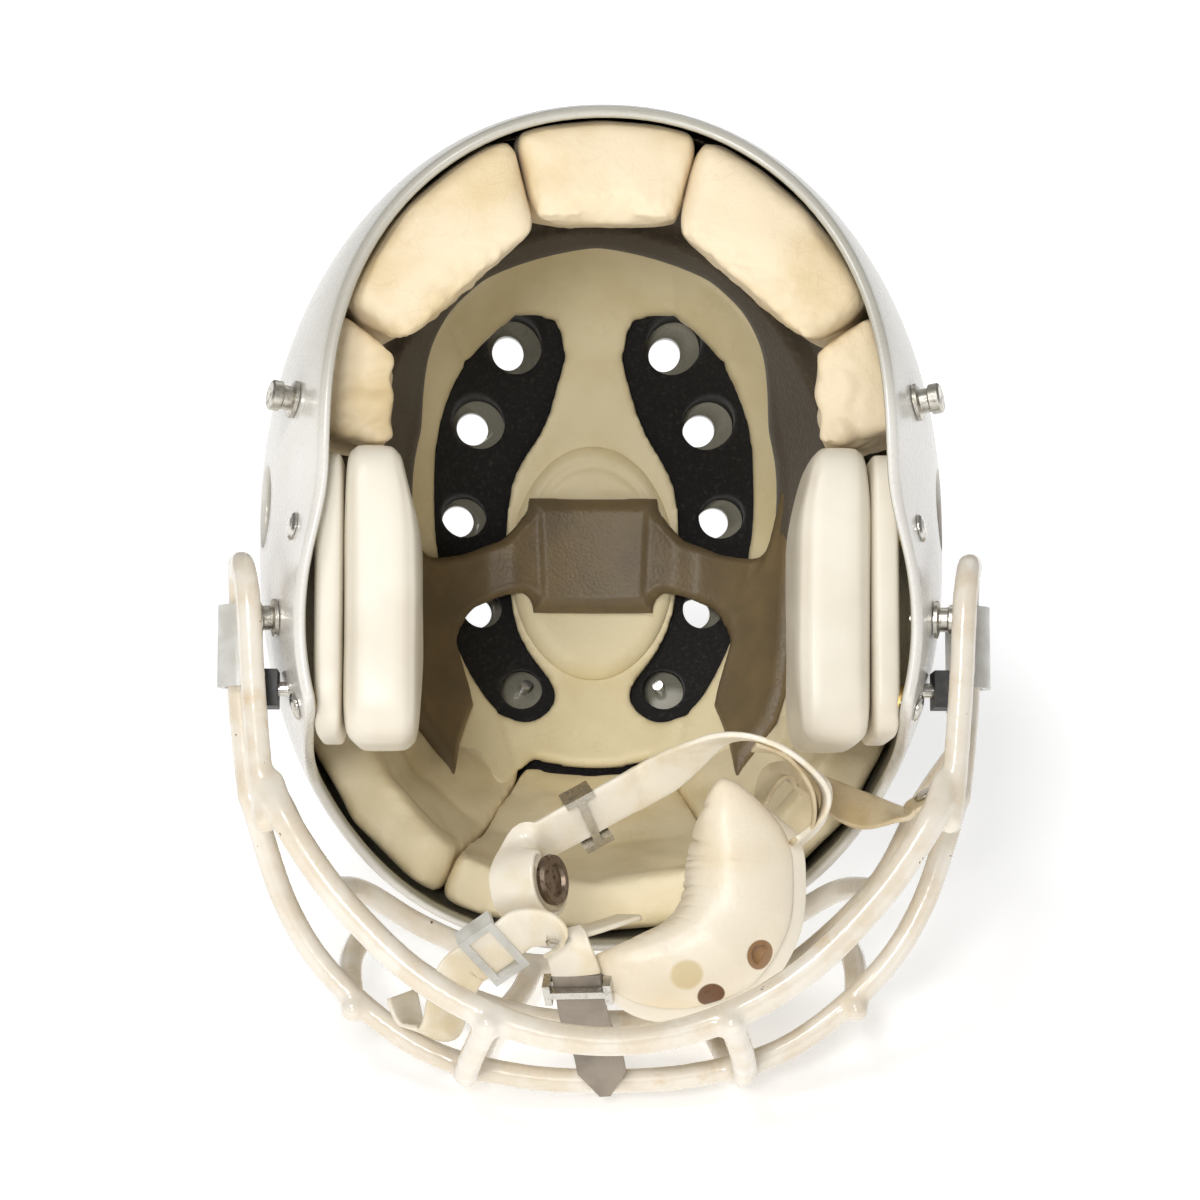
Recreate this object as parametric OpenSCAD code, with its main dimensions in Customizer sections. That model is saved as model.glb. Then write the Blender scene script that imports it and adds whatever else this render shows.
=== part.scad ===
// Football helmet lying face down on its face guard and forehead, seen from the neck opening.
// The helmet is drawn in a head frame and turned into its resting place at the end:
// X points to the wearer's right, Y runs from the neck opening up to the crown,
// and Z runs from the forehead to the back of the head.

/* [Shell] */
// Half of the shell's width, over the ears
half_width = 118; // [116:1:120]
// Length from the middle to the back of the shell
back_length = 145; // [143:1:147]
// Length from the middle to the forehead
front_length = 145; // [143:1:147]
// Height of the crown above the widest level
crown_height = 135; // [132:1:138]
// Wall thickness of the moulded shell
shell_wall = 4; // [3.5:0.1:4.3]
// Radius of the ear holes
ear_hole_r = 14; // [12:0.5:15]
// Radius of the vent holes through the shell
vent_r = 6; // [5:0.5:7]

/* [Liner] */
// Thickness of the black foam liner
foam_thick = 14; // [12:0.5:14.5]
// Thickness of the cream pad over the foam
cream_thick = 5; // [4:0.5:5]
// Thickness of the moulded band that holds the liner
band_thick = 4.5; // [3.5:0.5:5]
// How far the pads at the back of the neck stand in from the shell's outside
back_pad_depth = 38; // [34:1:40]

/* [Jaw pads] */
// Length of a jaw pad from front to back
jaw_pad_l = 98; // [90:1:98]
// Height of a jaw pad
jaw_pad_h = 60; // [50:1:60]
// Thickness of a jaw pad
jaw_pad_t = 29; // [20:1:29]

/* [Face guard] */
// Radius of the coated guard wire
wire_r = 4; // [3.6:0.1:4]
// Radius of the coated chin bar, which has the thickest coat
chin_bar_r = 4.6; // [4:0.1:4.6]
// Faces round a guard wire
wire_sides = 8; // [8:1:10]

/* [Hardware] */
// Radius of a chin strap stud's head
stud_head_r = 5; // [4.5:0.1:5.2]
// Length of a stud's head
stud_head_l = 3; // [2.5:0.1:3.5]
// Radius of a screw head
screw_r = 4.5; // [4:0.1:5]

/* [Chin strap] */
// Width of the coated webbing
strap_w = 16; // [14:0.5:17]
// Thickness of the coated webbing
strap_t = 2; // [1.6:0.1:2]

/* [Hidden] */

// Resting place: the turn about X and the move that brings it onto the ground
rest_tilt = -28.4;
rest_y = 21.8;
rest_z = 147.7;

// Powers of the plan outline at the back and front, and of the crown's profile
back_power = 2.1;
front_power = 2.3;
crown_power = 2.3;
// Depth that the negative row numbers reach below the widest level
skirt = 110;
// Depth of the liner surface that plan positions are measured on
plan_depth = 24;
// Gap that keeps neighbouring soft pieces apart
gap = 0.4;

// Depths below the shell's outside, from the shell in to the head
foam_out = shell_wall + 1.6;
foam_in = foam_out + foam_thick;
cream_out = foam_in + gap;
cream_in = cream_out + cream_thick;

// Smooth step from 0 to 1
function ease(t) = let(c = max(0, min(1, t))) c * c * (3 - 2 * c);

// Radius of the plan outline in direction a, measured from the back, at depth d
function plan_r(a, d) =
    let(back = cos(a) >= 0,
        n = back ? back_power : front_power,
        l = back ? back_length : front_length)
    pow(pow(abs(sin(a)) / (half_width - d), n) + pow(abs(cos(a)) / (l - d), n), -1 / n);

// How far the wall draws in at the rim: more at the back than at the jaw flaps
function tuck(a) = 22 + 3 * ease(abs(a) / 90) - 18 * ease((abs(a) - 85) / 45);

// The jaw flaps lean forward towards their tips
function lean(a) = 5 * sign(a) * ease((abs(a) - 100) / 28);

// Point of the helmet's wall: a is the direction from the back, s runs from the crown
// at 1 through the widest level at 0 to the neck at -1, and d is the depth
function wall(a, s, d) =
    let(k = 2 / crown_power,
        y = s >= 0 ? (crown_height - d) * pow(sin(90 * s), k) : skirt * s,
        low = max(0, -y / 105),
        r = plan_r(a, d) * (s >= 0 ? pow(cos(90 * s), k) : 1) - tuck(a) * low * low,
        b = a + lean(a) * min(1, low))
    [r * sin(b), y, r * cos(b)];

// The same point named by its plan position x and z on the liner surface
function plan_s(x, z, d = plan_depth) =
    let(q = min(1, norm([x, z]) / plan_r(atan2(x, z), d)))
    acos(pow(q, crown_power / 2)) / 90;
function on_plan(x, z, d) = wall(atan2(x, z), plan_s(x, z), d);

// Rim height in direction a, as a row number: nape, jaw flap, face opening, brow
function rim_y(a) =
    let(b = abs(a))
    -85 - 19 * ease((b - 25) / 60) - 4 * ease((b - 85) / 30)
    + 92 * ease((b - 121) / 11) + 36 * ease((b - 130) / 38);
function row_of(y, d) = y < 0 ? y / skirt : asin(pow(y / (crown_height - d), crown_power / 2)) / 90;
function rim_row(a) = row_of(rim_y(a), 0);

// Directions of the shell's columns, closer together where the rim turns steeply
half_dirs = [for (a = [0:8:104]) a, for (a = [108:2.5:138]) a, for (a = [145:9:172]) a];
shell_dirs = [for (i = [len(half_dirs) - 1:-1:1]) -half_dirs[i], each half_dirs, 180];
even_dirs = [for (i = [0:35]) -170 + 10 * i];

// Triangles of a quad grid of m rows by n columns that starts at point number k; before
// column turn_at the diagonals run the other way, so that left mirrors right
function grid_faces(m, n, k, flip, wrap, turn_at = 0) =
    [for (i = [0:m - 2], j = [0:n - (wrap ? 1 : 2)])
        let(p = k + i * n + j, q = k + i * n + (j + 1) % n, r = p + n, t = q + n,
            two = j < turn_at ? [[p, r, q], [q, r, t]] : [[p, t, q], [p, r, t]])
        for (f = two) flip ? [f[0], f[2], f[1]] : f];

// Mirrors a drawing of the right side onto the left one
module on_side(side) {
    if (side < 0) mirror([1, 0, 0]) children();
    else children();
}

// Row number at part t of the way from an edge to the crown, by way of a level row
function bowl_row(edge, t, level) =
    t < 0.6 ? edge + (level - edge) * t / 0.6 : level + (1 - level) * (t - 0.6) / 0.4;

// A bowl between depth out and depth in, from the edge up to its pole at the crown;
// hump gives the extra depth at a point of the liner surface
module bowl(edge, out, in, rows, dirs, hump = function(p) 0, level = function(e) 0.4 * e + 0.6) {
    n = len(dirs);
    spot = function(a, s, d) wall(a, s, d + hump(wall(a, s, plan_depth)));
    rings = function(d) [for (i = [0:rows - 1], a = dirs) spot(a, bowl_row(edge(a), i / rows, level(edge(a))), d)];
    pts = [each rings(out), spot(0, 1, out), each rings(in), spot(0, 1, in)];
    half = rows * n + 1;
    top = [for (j = [0:n - 1]) [(rows - 1) * n + j, half - 1, (rows - 1) * n + (j + 1) % n]];
    faces = [each grid_faces(rows, n, 0, false, true, floor(n / 2)), each top,
        each grid_faces(rows, n, half, true, true, floor(n / 2)),
        for (f = top) [f[0] + half, f[2] + half, f[1] + half],
        for (j = [0:n - 1]) let(k = (j + 1) % n) each [[j, k, k + half], [j, k + half, j + half]]];
    polyhedron(pts, faces);
}

// A closed slab between two grids of m rows by n columns
module slab(front, rear, m, n) {
    k = m * n;
    edge = [for (j = [0:n - 1]) j, for (i = [1:m - 1]) i * n + n - 1,
        for (j = [n - 2:-1:0]) (m - 1) * n + j, for (i = [m - 2:-1:1]) i * n];
    e = len(edge);
    polyhedron([each front, each rear], [each grid_faces(m, n, 0, false, false),
        each grid_faces(m, n, k, true, false),
        for (j = [0:e - 1]) let(p = edge[j], q = edge[(j + 1) % e])
            each [[p, q, q + k], [p, q + k, p + k]]]);
}

// A cushion on the wall between two directions and two rows: its face is crowned, its
// corners are round and its sides draw in between the corners
module wall_cushion(a0, a1, s0, s1, out, in, puff, m = 9, n = 9) {
    u_of = function(i) 2 * i / (n - 1) - 1;
    v_of = function(i) 2 * i / (m - 1) - 1;
    place = function(u, v, d, inset)
        let(pull = 1 - inset * (1 - v * v) - 0.06 * v * v * u * u,
            push = 1 - inset * (1 - u * u) - 0.06 * v * v * u * u)
        wall((a0 + a1) / 2 + (a1 - a0) / 2 * u * pull, (s0 + s1) / 2 + (s1 - s0) / 2 * v * push, d);
    front = [for (i = [0:m - 1], j = [0:n - 1])
        let(u = u_of(j), v = v_of(i), c = pow(max(abs(u), abs(v)), 4)) place(u, v, in - puff * c, 0.03)];
    rear = [for (i = [0:m - 1], j = [0:n - 1]) place(u_of(j), v_of(i), out, 0.01)];
    if (a1 > a0) slab(rear, front, m, n);
}

// A round wire along smooth stretches of the given points, with rounded ends
function between(p, i, t) =
    let(a = p[max(0, i - 1)], b = p[i], c = p[i + 1], d = p[min(len(p) - 1, i + 2)])
    0.5 * (2 * b + (c - a) * t + (2 * a - 5 * b + 4 * c - d) * t * t
        + (3 * b - a - 3 * c + d) * t * t * t);
function smooth_path(p, steps) =
    [for (i = [0:len(p) - 2], k = [0:steps - 1]) between(p, i, k / steps), p[len(p) - 1]];
function unit(v) = v / norm(v);
function along(p, i) = unit(p[min(len(p) - 1, i + 1)] - p[max(0, i - 1)]);
function frames(p, i = 0, u = undef) =
    let(t = along(p, i),
        seed = is_undef(u) ? (abs(t[2]) < 0.9 ? [0, 0, 1] : [1, 0, 0]) : u,
        side = unit(seed - t * (seed * t)))
    i == len(p) - 1 ? [side] : [side, each frames(p, i + 1, side)];
module tube(p, r, sides) {
    n = len(p);
    side = frames(p);
    ring = function(i, rr, shift)
        let(t = along(p, i), u = side[i], w = cross(t, u))
        [for (k = [0:sides - 1])
            p[i] + t * shift + rr * (u * cos(360 * k / sides) + w * sin(360 * k / sides))];
    pts = [each ring(0, 0.7 * r, -0.7 * r), for (i = [0:n - 1]) each ring(i, r, 0),
        each ring(n - 1, 0.7 * r, 0.7 * r)];
    rows = n + 2;
    last = (rows - 1) * sides;
    polyhedron(pts, [[for (k = [0:sides - 1]) k], [for (k = [sides - 1:-1:0]) last + k],
        each grid_faces(rows, sides, 0, false, true)]);
}

// A flat tape along a path: each entry is a point and the direction across the tape
module tape(path, w, t, steps = 4) {
    p = smooth_path([for (e = path) e[0]], steps);
    q = smooth_path([for (e = path) e[1]], steps);
    n = len(p);
    ring = function(i)
        let(f = along(p, i), c = unit(q[i] - f * (q[i] * f)), h = cross(f, c))
        [p[i] - c * w / 2 - h * t / 2, p[i] + c * w / 2 - h * t / 2,
            p[i] + c * w / 2 + h * t / 2, p[i] - c * w / 2 + h * t / 2];
    pts = [for (i = [0:n - 1]) each ring(i)];
    last = (n - 1) * 4;
    polyhedron(pts, [[0, 1, 2, 3], [last + 3, last + 2, last + 1, last],
        each grid_faces(n, 4, 0, false, true)]);
}

// Brings a drawing's Z axis onto direction v at point p
module aim(p, v) {
    translate(p) rotate([0, acos(v[2] / norm(v)), atan2(v[1], v[0])]) children();
}

// Frame of the wall: X round the head, Y up to the crown, Z outwards, and the point itself
function wall_frame(a, s) =
    let(up = unit(wall(a, s + 0.01, 0) - wall(a, s - 0.01, 0)),
        out = unit(cross(wall(a + 1, s, 0) - wall(a - 1, s, 0), up)))
    [cross(up, out), up, out, wall(a, s, 0)];
// Sets a drawing on the wall, in that frame
module on_wall(a, s, lift = 0) {
    f = wall_frame(a, s);
    o = f[3] + f[2] * lift;
    multmatrix([for (k = [0:2]) [f[0][k], f[1][k], f[2][k], o[k]]]) children();
}

// Vent holes as plan positions on the right half, with the foam hole's radius
vents = [[30, 85, 10.5], [43.5, 57, 10], [49, 22, 8.5], [42, -13, 7.5]];
crown_screw_at = [27, -43.5, 8];

// Studs, jaw pad screws and brow clips as wall places
stud_at = [[72, -0.71], [109, -0.71]];
jaw_screw_at = [[96, -0.83], [121, -0.83]];
stud_lift = 0.3;
brow_clip_at = [165, 0.19];
both = [-1, 1];

module shell() {
    color("#f2f0ee") difference() {
        bowl(function(a) rim_row(a), 0, shell_wall, 13, shell_dirs, level = function(e) 0.35);
        for (side = both) {
            translate([side * half_width, -42, 3]) rotate([0, 90, 0])
                cylinder(r = ear_hole_r, h = 60, center = true, $fn = 48);
            for (v = vents)
                translate([side * v[0], 60, v[1]]) rotate([-90, 0, 0])
                    cylinder(r = vent_r, h = 120, $fn = 32);
        }
        shank_holes();
    }
}

// Guard wires in the head frame, for the right half or across the face
chin_bar = [[-107, -102, -94], [-101, -109, -107], [-84, -111, -131], [-59, -112, -155], [-30, -112, -170],
    [0, -112, -175], [30, -112, -170], [59, -112, -155], [84, -111, -131], [101, -109, -107], [107, -102, -94]];
second_bar = [[-115, -66, -98], [-104, -62, -131], [-88, -60, -155], [-60, -60, -177], [-30, -60, -186],
    [0, -60, -188], [30, -60, -186], [60, -60, -177], [88, -60, -155], [104, -62, -131], [115, -66, -98]];
upper_bar = [[-116, -54, -82], [-108, -30, -96], [-93, -20, -124], [-62, -18, -152], [-30, -17, -166],
    [0, -17, -169], [30, -17, -166], [62, -18, -152], [93, -20, -124], [108, -30, -96], [116, -54, -82]];
brow_bar = [[-92, -18, -124], [-82, 8, -124], [-60, 20, -136.5], [-30, 22, -148], [0, 22, -149.5],
    [30, 22, -148], [60, 20, -136.5], [82, 8, -124], [92, -18, -124]];
side_loop = [[108, -104, -106], [110, -102, -92], [113, -98, -62], [115, -94, -36], [117, -88, -25],
    [119, -78, -21], [120, -66, -24], [120, -62.5, -31], [120, -62, -40], [120, -62, -62], [116, -66, -96]];
inner_post = [[38, -115, -170], [43, -90, -180], [45, -60, -186], [42, -36, -182], [37, -15, -171],
    [27, 6, -158.5], [23, 21, -149.5]];
outer_post = [[80, -14, -138], [84, -36, -149], [82, -62, -165]];

// The guard is one weld of coated wires. Each wire is a piece of its own here, and where two
// wires meet, the later one is cut to sit against the earlier one
weld_gap = 0.04;
coat = "#efe9de";
module wire(path, r) {
    tube(smooth_path(path, 2), r, wire_sides);
}
module long_bars(gap) {
    wire(chin_bar, chin_bar_r + gap);
    wire(second_bar, wire_r + gap);
    wire(upper_bar, wire_r + gap);
}
module guard_chin_bar() {
    color(coat) wire(chin_bar, chin_bar_r);
}
module guard_second_bar() {
    color(coat) wire(second_bar, wire_r);
}
module guard_upper_bar() {
    color(coat) wire(upper_bar, wire_r);
}
module guard_brow_bar() {
    color(coat) difference() {
        wire(brow_bar, wire_r);
        long_bars(weld_gap);
    }
}
module guard_loop(side) {
    color(coat) difference() {
        on_side(side) wire(side_loop, wire_r);
        long_bars(weld_gap);
    }
}
module guard_posts(post) {
    color(coat) difference() {
        for (side = both) on_side(side) wire(post, wire_r);
        long_bars(weld_gap);
        wire(brow_bar, wire_r + weld_gap);
    }
}

// Loop clip that holds the guard's side loop against the jaw flap
module side_clip(side) {
    color([0.86, 0.87, 0.86, 0.8]) on_side(side) translate([120, -62, 0]) difference() {
        union() {
            translate([0, 0, -60]) cylinder(r = 7.4, h = 27, $fn = 40);
            translate([-7.4, -23, -68]) cube([3.2, 23, 22]);
        }
        translate([0, 0, -69]) cylinder(r = wire_r + 0.9, h = 38, $fn = 40);
        translate([-8, -16, -62]) rotate([0, 90, 0]) cylinder(r = 2.6, h = 8, $fn = 24);
    }
}

// Black blocks that space the side clips off the curved flap
module clip_spacers() {
    color("#26262a") for (side = both) on_side(side) difference() {
        translate([106.2, -85, -68]) cube([6.2, 14, 12]);
        translate([104, -78, -62]) rotate([0, 90, 0]) cylinder(r = 2.6, h = 12, $fn = 24);
    }
}

// Screw with a domed oval head: the head rises from the origin and the shank goes down
module dome_screw(r, shank_r, shank_l) {
    rotate_extrude($fn = 40) polygon([[0, -shank_l], [shank_r, -shank_l], [shank_r, 0], [r, 0], [r, 0.5],
        [0.8 * r, 1.2], [0.45 * r, 1.6], [0, 1.75]]);
}

module guard_screws() {
    color("silver") for (side = both) {
        on_side(side) translate([116, -78, -62]) rotate([0, 90, 0]) dome_screw(screw_r, 2.4, 15);
        on_wall(side * brow_clip_at[0], brow_clip_at[1], 3.2) dome_screw(screw_r, 2.2, 9);
    }
}

// Loop clips that hold the brow bar to the forehead: a tongue and a loop round the bar
brow_clip_bar = [37.5, 21.6, -145.6];
module brow_clips() {
    f = wall_frame(brow_clip_at[0], brow_clip_at[1]);
    q = brow_clip_bar - f[3];
    y = q * f[1];
    z = q * f[2];
    color([0.86, 0.87, 0.86, 0.8]) for (side = both) on_wall(side * brow_clip_at[0], brow_clip_at[1]) difference() {
        union() {
            translate([-7, y, 0.6]) cube([14, 8 - y, 2.4]);
            translate([-7, y, z]) rotate([0, 90, 0]) cylinder(r = wire_r + 2.8, h = 14, $fn = 40);
        }
        translate([0, 0, -1]) cylinder(r = 2.3, h = 6, $fn = 24);
        translate([-8, y, z]) rotate([0, 90, 0]) cylinder(r = wire_r + 1.3, h = 16, $fn = 40);
        translate([-8, y - 10, -20]) cube([16, 40, 20.4]);
    }
}

// Chin strap stud: flange, waist and head standing out of the shell
module stud() {
    rotate_extrude($fn = 48) polygon([[0, -8], [2.4, -8], [2.4, 0], [6.2, 0], [6.2, 1.2], [4, 1.8],
        [4, 4.4], [stud_head_r, 5], [stud_head_r, 5 + stud_head_l], [4.2, 5.6 + stud_head_l],
        [0, 5.6 + stud_head_l]]);
}
module snap_studs() {
    color("#b9b6ae") for (side = both, w = stud_at) on_wall(side * w[0], w[1], stud_lift) stud();
}

module jaw_pad_screws() {
    color("silver") for (side = both, w = jaw_screw_at)
        on_wall(side * w[0], w[1], 0.3) dome_screw(screw_r, 2.2, 7);
}

// Brass nuts behind the studs and the jaw pad screws
module tee_nut() {
    difference() {
        cylinder(r = 6, h = 1.3, $fn = 40);
        translate([0, 0, -1]) cylinder(r = 2.45, h = 4, $fn = 24);
    }
}
module tee_nuts() {
    color("#b08d3c") for (side = both) {
        for (w = [each jaw_screw_at, each stud_at]) on_wall(side * w[0], w[1], -shell_wall - 2.4) tee_nut();
    }
}

crown_dir = atan2(crown_screw_at[0], crown_screw_at[1]);
crown_row = plan_s(crown_screw_at[0], crown_screw_at[1], 0);
module crown_screws() {
    color("silver") for (side = both) on_wall(side * crown_dir, crown_row, 0.2) dome_screw(4, 2, 12);
}

// Holes through the shell for every shank
module shank_holes() {
    for (side = both) {
        on_side(side) translate([116, -78, -62]) rotate([0, 90, 0])
            cylinder(r = 2.45, h = 40, center = true, $fn = 24);
        on_wall(side * brow_clip_at[0], brow_clip_at[1]) cylinder(r = 2.25, h = 20, center = true, $fn = 24);
        for (w = stud_at) on_wall(side * w[0], w[1]) cylinder(r = 2.45, h = 24, center = true, $fn = 24);
        for (w = jaw_screw_at) on_wall(side * w[0], w[1]) cylinder(r = 2.25, h = 20, center = true, $fn = 24);
        on_wall(side * crown_dir, crown_row) cylinder(r = 2.05, h = 20, center = true, $fn = 24);
    }
}

// How far down each liner layer reaches in direction a, as a row number
function liner_edge(a) = let(b = abs(a)) 0.24 + 0.1 * ease(b / 60) + 0.31 * ease((b - 100) / 55);

module foam_liner() {
    color("#1d1c1c") difference() {
        bowl(function(a) liner_edge(a), foam_out, foam_in, 7, even_dirs);
        for (side = both) {
            for (v = vents) translate([side * v[0], 40, v[1]]) rotate([-90, 0, 0])
                cylinder(r = v[2], h = 120, $fn = 32);
            translate([side * crown_screw_at[0], 40, crown_screw_at[1]]) rotate([-90, 0, 0])
                cylinder(r = crown_screw_at[2], h = 120, $fn = 32);
        }
    }
}

// Kidney window in the cream pad, drawn on the plan with the right side's points
kidney = [[11, 80], [15, 92], [31, 92], [50, 73], [59, 46], [59, 10], [52, -26], [39, -50], [24, -57],
    [14, -45], [30, -18], [32, 28], [18, 58]];

module crown_pad() {
    color("#f0e3c4") difference() {
        bowl(function(a) liner_edge(a) + 0.02, cream_out, cream_in, 7, even_dirs);
        for (side = both) on_side(side) translate([0, 140, 0]) rotate([90, 0, 0])
            linear_extrude(120) polygon([for (p = smooth_path([each kidney, kidney[0]], 2)) p]);
    }
}

// Oval pad in the middle of the crown, sewn onto the cream pad
disc_wide = 31.5;
disc_long = 45;
disc_thick = 4;
function disc_edge(a) = let(r = 1 / norm([sin(a) / disc_wide, cos(a) / disc_long]) + 4 * cos(a))
    plan_s(r * sin(a), r * cos(a));
module crown_disc() {
    color("#efe2c0") bowl(function(a) disc_edge(a), cream_in + gap, cream_in + gap + disc_thick, 4, even_dirs);
}

// Moulded band: block and arms across the crown, and a long leg down each side. Its
// outline is drawn on the plan, and it steps over the oval pad in the middle
function band_step(p) = (disc_thick + 0.2)
    * (1 - ease((norm([p[0] / disc_wide, (p[2] - 4) / disc_long]) - 1.05) / 0.35));
band_leg = [[60, 84], [75, 78], [77, 44], [76, 10], [71, -32], [66, -62], [53, -85], [45, -49],
    [47, -30], [52, -16], [64, 3], [62, 40]];
module band_outline() {
    offset(r = 3, $fn = 24) offset(delta = -3) union() {
        polygon([[-24, 28], [24, 28], [22, -14], [-22, -14]]);
        for (side = both) scale([side, 1]) {
            polygon([[20, 16], [38, 9], [66, 12], [60, -14], [40, -10], [20, -10]]);
            polygon(band_leg);
        }
    }
}
module liner_band() {
    color("#6b5d50") intersection() {
        bowl(function(a) 0.12 + 0.2 * ease((abs(a) - 120) / 50), cream_in + 0.9, cream_in + 0.9 + band_thick,
            10, even_dirs, function(p) band_step(p));
        translate([0, 140, 0]) rotate([90, 0, 0]) linear_extrude(160) band_outline();
    }
}

// Cushions round the back of the neck and at the sides
pad_out = shell_wall + 4.4;
module back_pad_center() {
    color("#f3e3c2") wall_cushion(-13.6, 13.6, -0.76, -0.2, pad_out, back_pad_depth, 6);
}
module back_pad(side) {
    color("#f3e3c2") on_side(side) wall_cushion(14.4, 50, -0.8, -0.2, pad_out, back_pad_depth - 3, 6, 9, 11);
}
// Dark foam behind the back pads, and its thick end between them and the crown liner
neck_rows = [[-0.7, 7.1], [-0.45, 7.1], [-0.19, 7.1], [-0.17, 24], [0, 24], [0.2, 24]];
module neck_foam() {
    m = len(neck_rows);
    n = 13;
    rear = [for (i = [0:m - 1], j = [0:n - 1]) wall(-60 + 10 * j, neck_rows[i][0], shell_wall + 2.2)];
    front = [for (i = [0:m - 1], j = [0:n - 1]) wall(-60 + 10 * j, neck_rows[i][0], neck_rows[i][1])];
    color("#2a2724") slab(rear, front, m, n);
}
module side_pad(side) {
    color("#eadbb8") on_side(side) wall_cushion(52, 75, -0.72, -0.25, pad_out + 0.8, 28, 5);
}

// A cushion behind the forehead: it follows the brow edge below and the liner above
function turn(a) = a > 180 ? a - 360 : a;
module front_cushion(a0, a1, in, top_row, m, n) {
    place = function(i, j, d, inset)
        let(u = 2 * j / (n - 1) - 1, v = i / (m - 1),
            a = turn((a0 + a1) / 2 + (a1 - a0) / 2 * u * (1 - inset)),
            low = max(0.02, row_of(rim_y(a), 0)) + 0.05, high = top_row(a))
        wall(a, low + (high - low) * (inset + (1 - 2 * inset) * v), d);
    edge = function(i, j) pow(max(abs(2 * i / (m - 1) - 1), abs(2 * j / (n - 1) - 1)), 4);
    face = [for (i = [0:m - 1], j = [0:n - 1]) place(i, j, in - 5 * edge(i, j), 0.02)];
    back = [for (i = [0:m - 1], j = [0:n - 1]) place(i, j, shell_wall + 2, 0.01)];
    slab(back, face, m, n);
}
module brow_pad() {
    color("#f3e5c6") front_cushion(156, 204, 23, function(a) 0.6, 9, 11);
}
module front_pad(side) {
    color("#eee0bd") on_side(side)
        front_cushion(129.5, 154.5, 22, function(a) liner_edge(a) - 0.05, 9, 9);
}

// Jaw pad: a thick smooth cushion with round corners, and the plate that it snaps onto
jaw_at = [60, -70, -32];
module rounded_block(l, h, t, r) {
    hull() for (y = both, z = both) translate([0, y * (h / 2 - r), z * (l / 2 - r)])
        rotate([0, 90, 0]) cylinder(r1 = r - 3, r2 = r, h = 3, $fn = 24);
    hull() for (y = both, z = both) translate([3, y * (h / 2 - r), z * (l / 2 - r)])
        rotate([0, 90, 0]) cylinder(r = r, h = t - 3, $fn = 24);
}
module jaw_pad(side) {
    color("#f7f5f2") on_side(side) translate(jaw_at) rounded_block(jaw_pad_l, jaw_pad_h, jaw_pad_t - 4, 14);
}
module jaw_base(side) {
    color("#efe6cf") on_side(side) {
        translate(jaw_at + [jaw_pad_t - 4, 0, 0]) rounded_block(jaw_pad_l - 6, jaw_pad_h - 6, 3.6, 12);
        for (w = jaw_screw_at) let(p = wall(w[0], w[1], 0), x = jaw_at[0] + jaw_pad_t - 1)
            translate([x, p[1] + 4, p[2]]) rotate([0, 90, 0]) cylinder(r = 5, h = p[0] - 8.4 - x, $fn = 32);
    }
}

// Chin cup: a dish bent along a curve, with a hard skin outside and a pad inside
cup_inner = [[32, -72, -90], [25, -68, -108], [24, -68, -124], [15, -70, -140], [-2, -72, -150], [-20, -74, -156]];
cup_outer = [[52, -84, -90], [62, -86, -104], [64, -88, -122], [58, -90, -142], [40, -92, -158], [12, -92, -164]];
cup_rise = 13;
function cup_point(u, v, lift) =
    let(a = smooth_path(cup_inner, 2)[u], b = smooth_path(cup_outer, 2)[u],
        n = unit(cross(along(smooth_path(cup_inner, 2), u), b - a)), up = n[1] > 0 ? -n : n,
        e = 1 - 0.25 * pow(abs(2 * u / 10 - 1), 3))
    a + (b - a) * (0.5 + (v - 0.5) * e) + up * (cup_rise * e * 4 * v * (1 - v) + lift);
module cup_sheet(low, high, in_edge, out_edge) {
    m = 11;
    n = 8;
    grid = function(lift) [for (u = [0:m - 1], k = [0:n - 1])
        let(v = in_edge + (out_edge - in_edge) * k / (n - 1), c = pow(abs(2 * k / (n - 1) - 1), 4))
        cup_point(u, v, lift > low ? lift - 0.3 * (high - low) * c : lift)];
    slab(grid(low), grid(high), m, n);
}
module chin_cup() {
    color("#f4f2ee") cup_sheet(-2, 0, 0.02, 1.06);
}
module chin_cup_pad() {
    color("#f1e5cd") cup_sheet(0.4, 8, 0, 0.96);
}

// Coated webbing: each entry is a point of the route and the direction across the tape.
// The upper strap runs straight through its slide and then rolls back on itself
slide_from = [16, -86, -91];
slide_to = [-22, -88, -112];
upper_across = [0.36, 0.66, -0.65];
roll_at = [-25, -89, -125];
roll_axis = unit([0.85, -0.5, 0.1]);
roll_r = 11;
function roll_point(a) = roll_at + roll_r * (cos(a) * unit(cross(cross(roll_axis, [0, 0, 1]), roll_axis))
    + sin(a) * unit(cross(roll_axis, [0, 0, 1])));
upper_route = [[[69, -81, -104], [0.2, 1, 0]], [[67.5, -96, -93], [0.1, 1, 0]], [[52, -109, -82], [0, 1, 0.1]],
    [[35, -104, -80], [0.1, 1, -0.1]],
    for (t = [0:0.25:1]) [slide_from + (slide_to - slide_from) * t, upper_across],
    for (a = [30:45:300]) [roll_point(a), roll_axis]];
// The lower strap curls behind the chin bar, runs through two slides and hangs down
tail_from = [-10, -96, -154];
tail_to = [-7, -83, -168];
tail_across = [1, 0, -0.2];
lower_from = [-46, -95, -153];
lower_to = [-27, -100, -140];
lower_across = [0.42, 0.62, -0.66];
lower_route = [[[-66, -70, -160], [0.5, 0.6, -0.3]], [[-62, -70, -170], [0.5, 0.7, -0.2]],
    [[-54, -75, -172], [0.4, 0.8, -0.3]], [[-50, -87, -162], [0.3, 0.8, -0.5]],
    for (t = [0:0.25:1]) [lower_from + (lower_to - lower_from) * t, lower_across],
    [[-19, -105, -140], [0.5, 0.5, -0.7]], [[-13, -103, -146], [0.7, 0.3, -0.6]],
    for (t = [0:0.5:1]) [tail_from + (tail_to - tail_from) * t, tail_across],
    [[-5, -73.6, -179.4], tail_across], [[-4, -64.6, -192.4], tail_across]];
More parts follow.
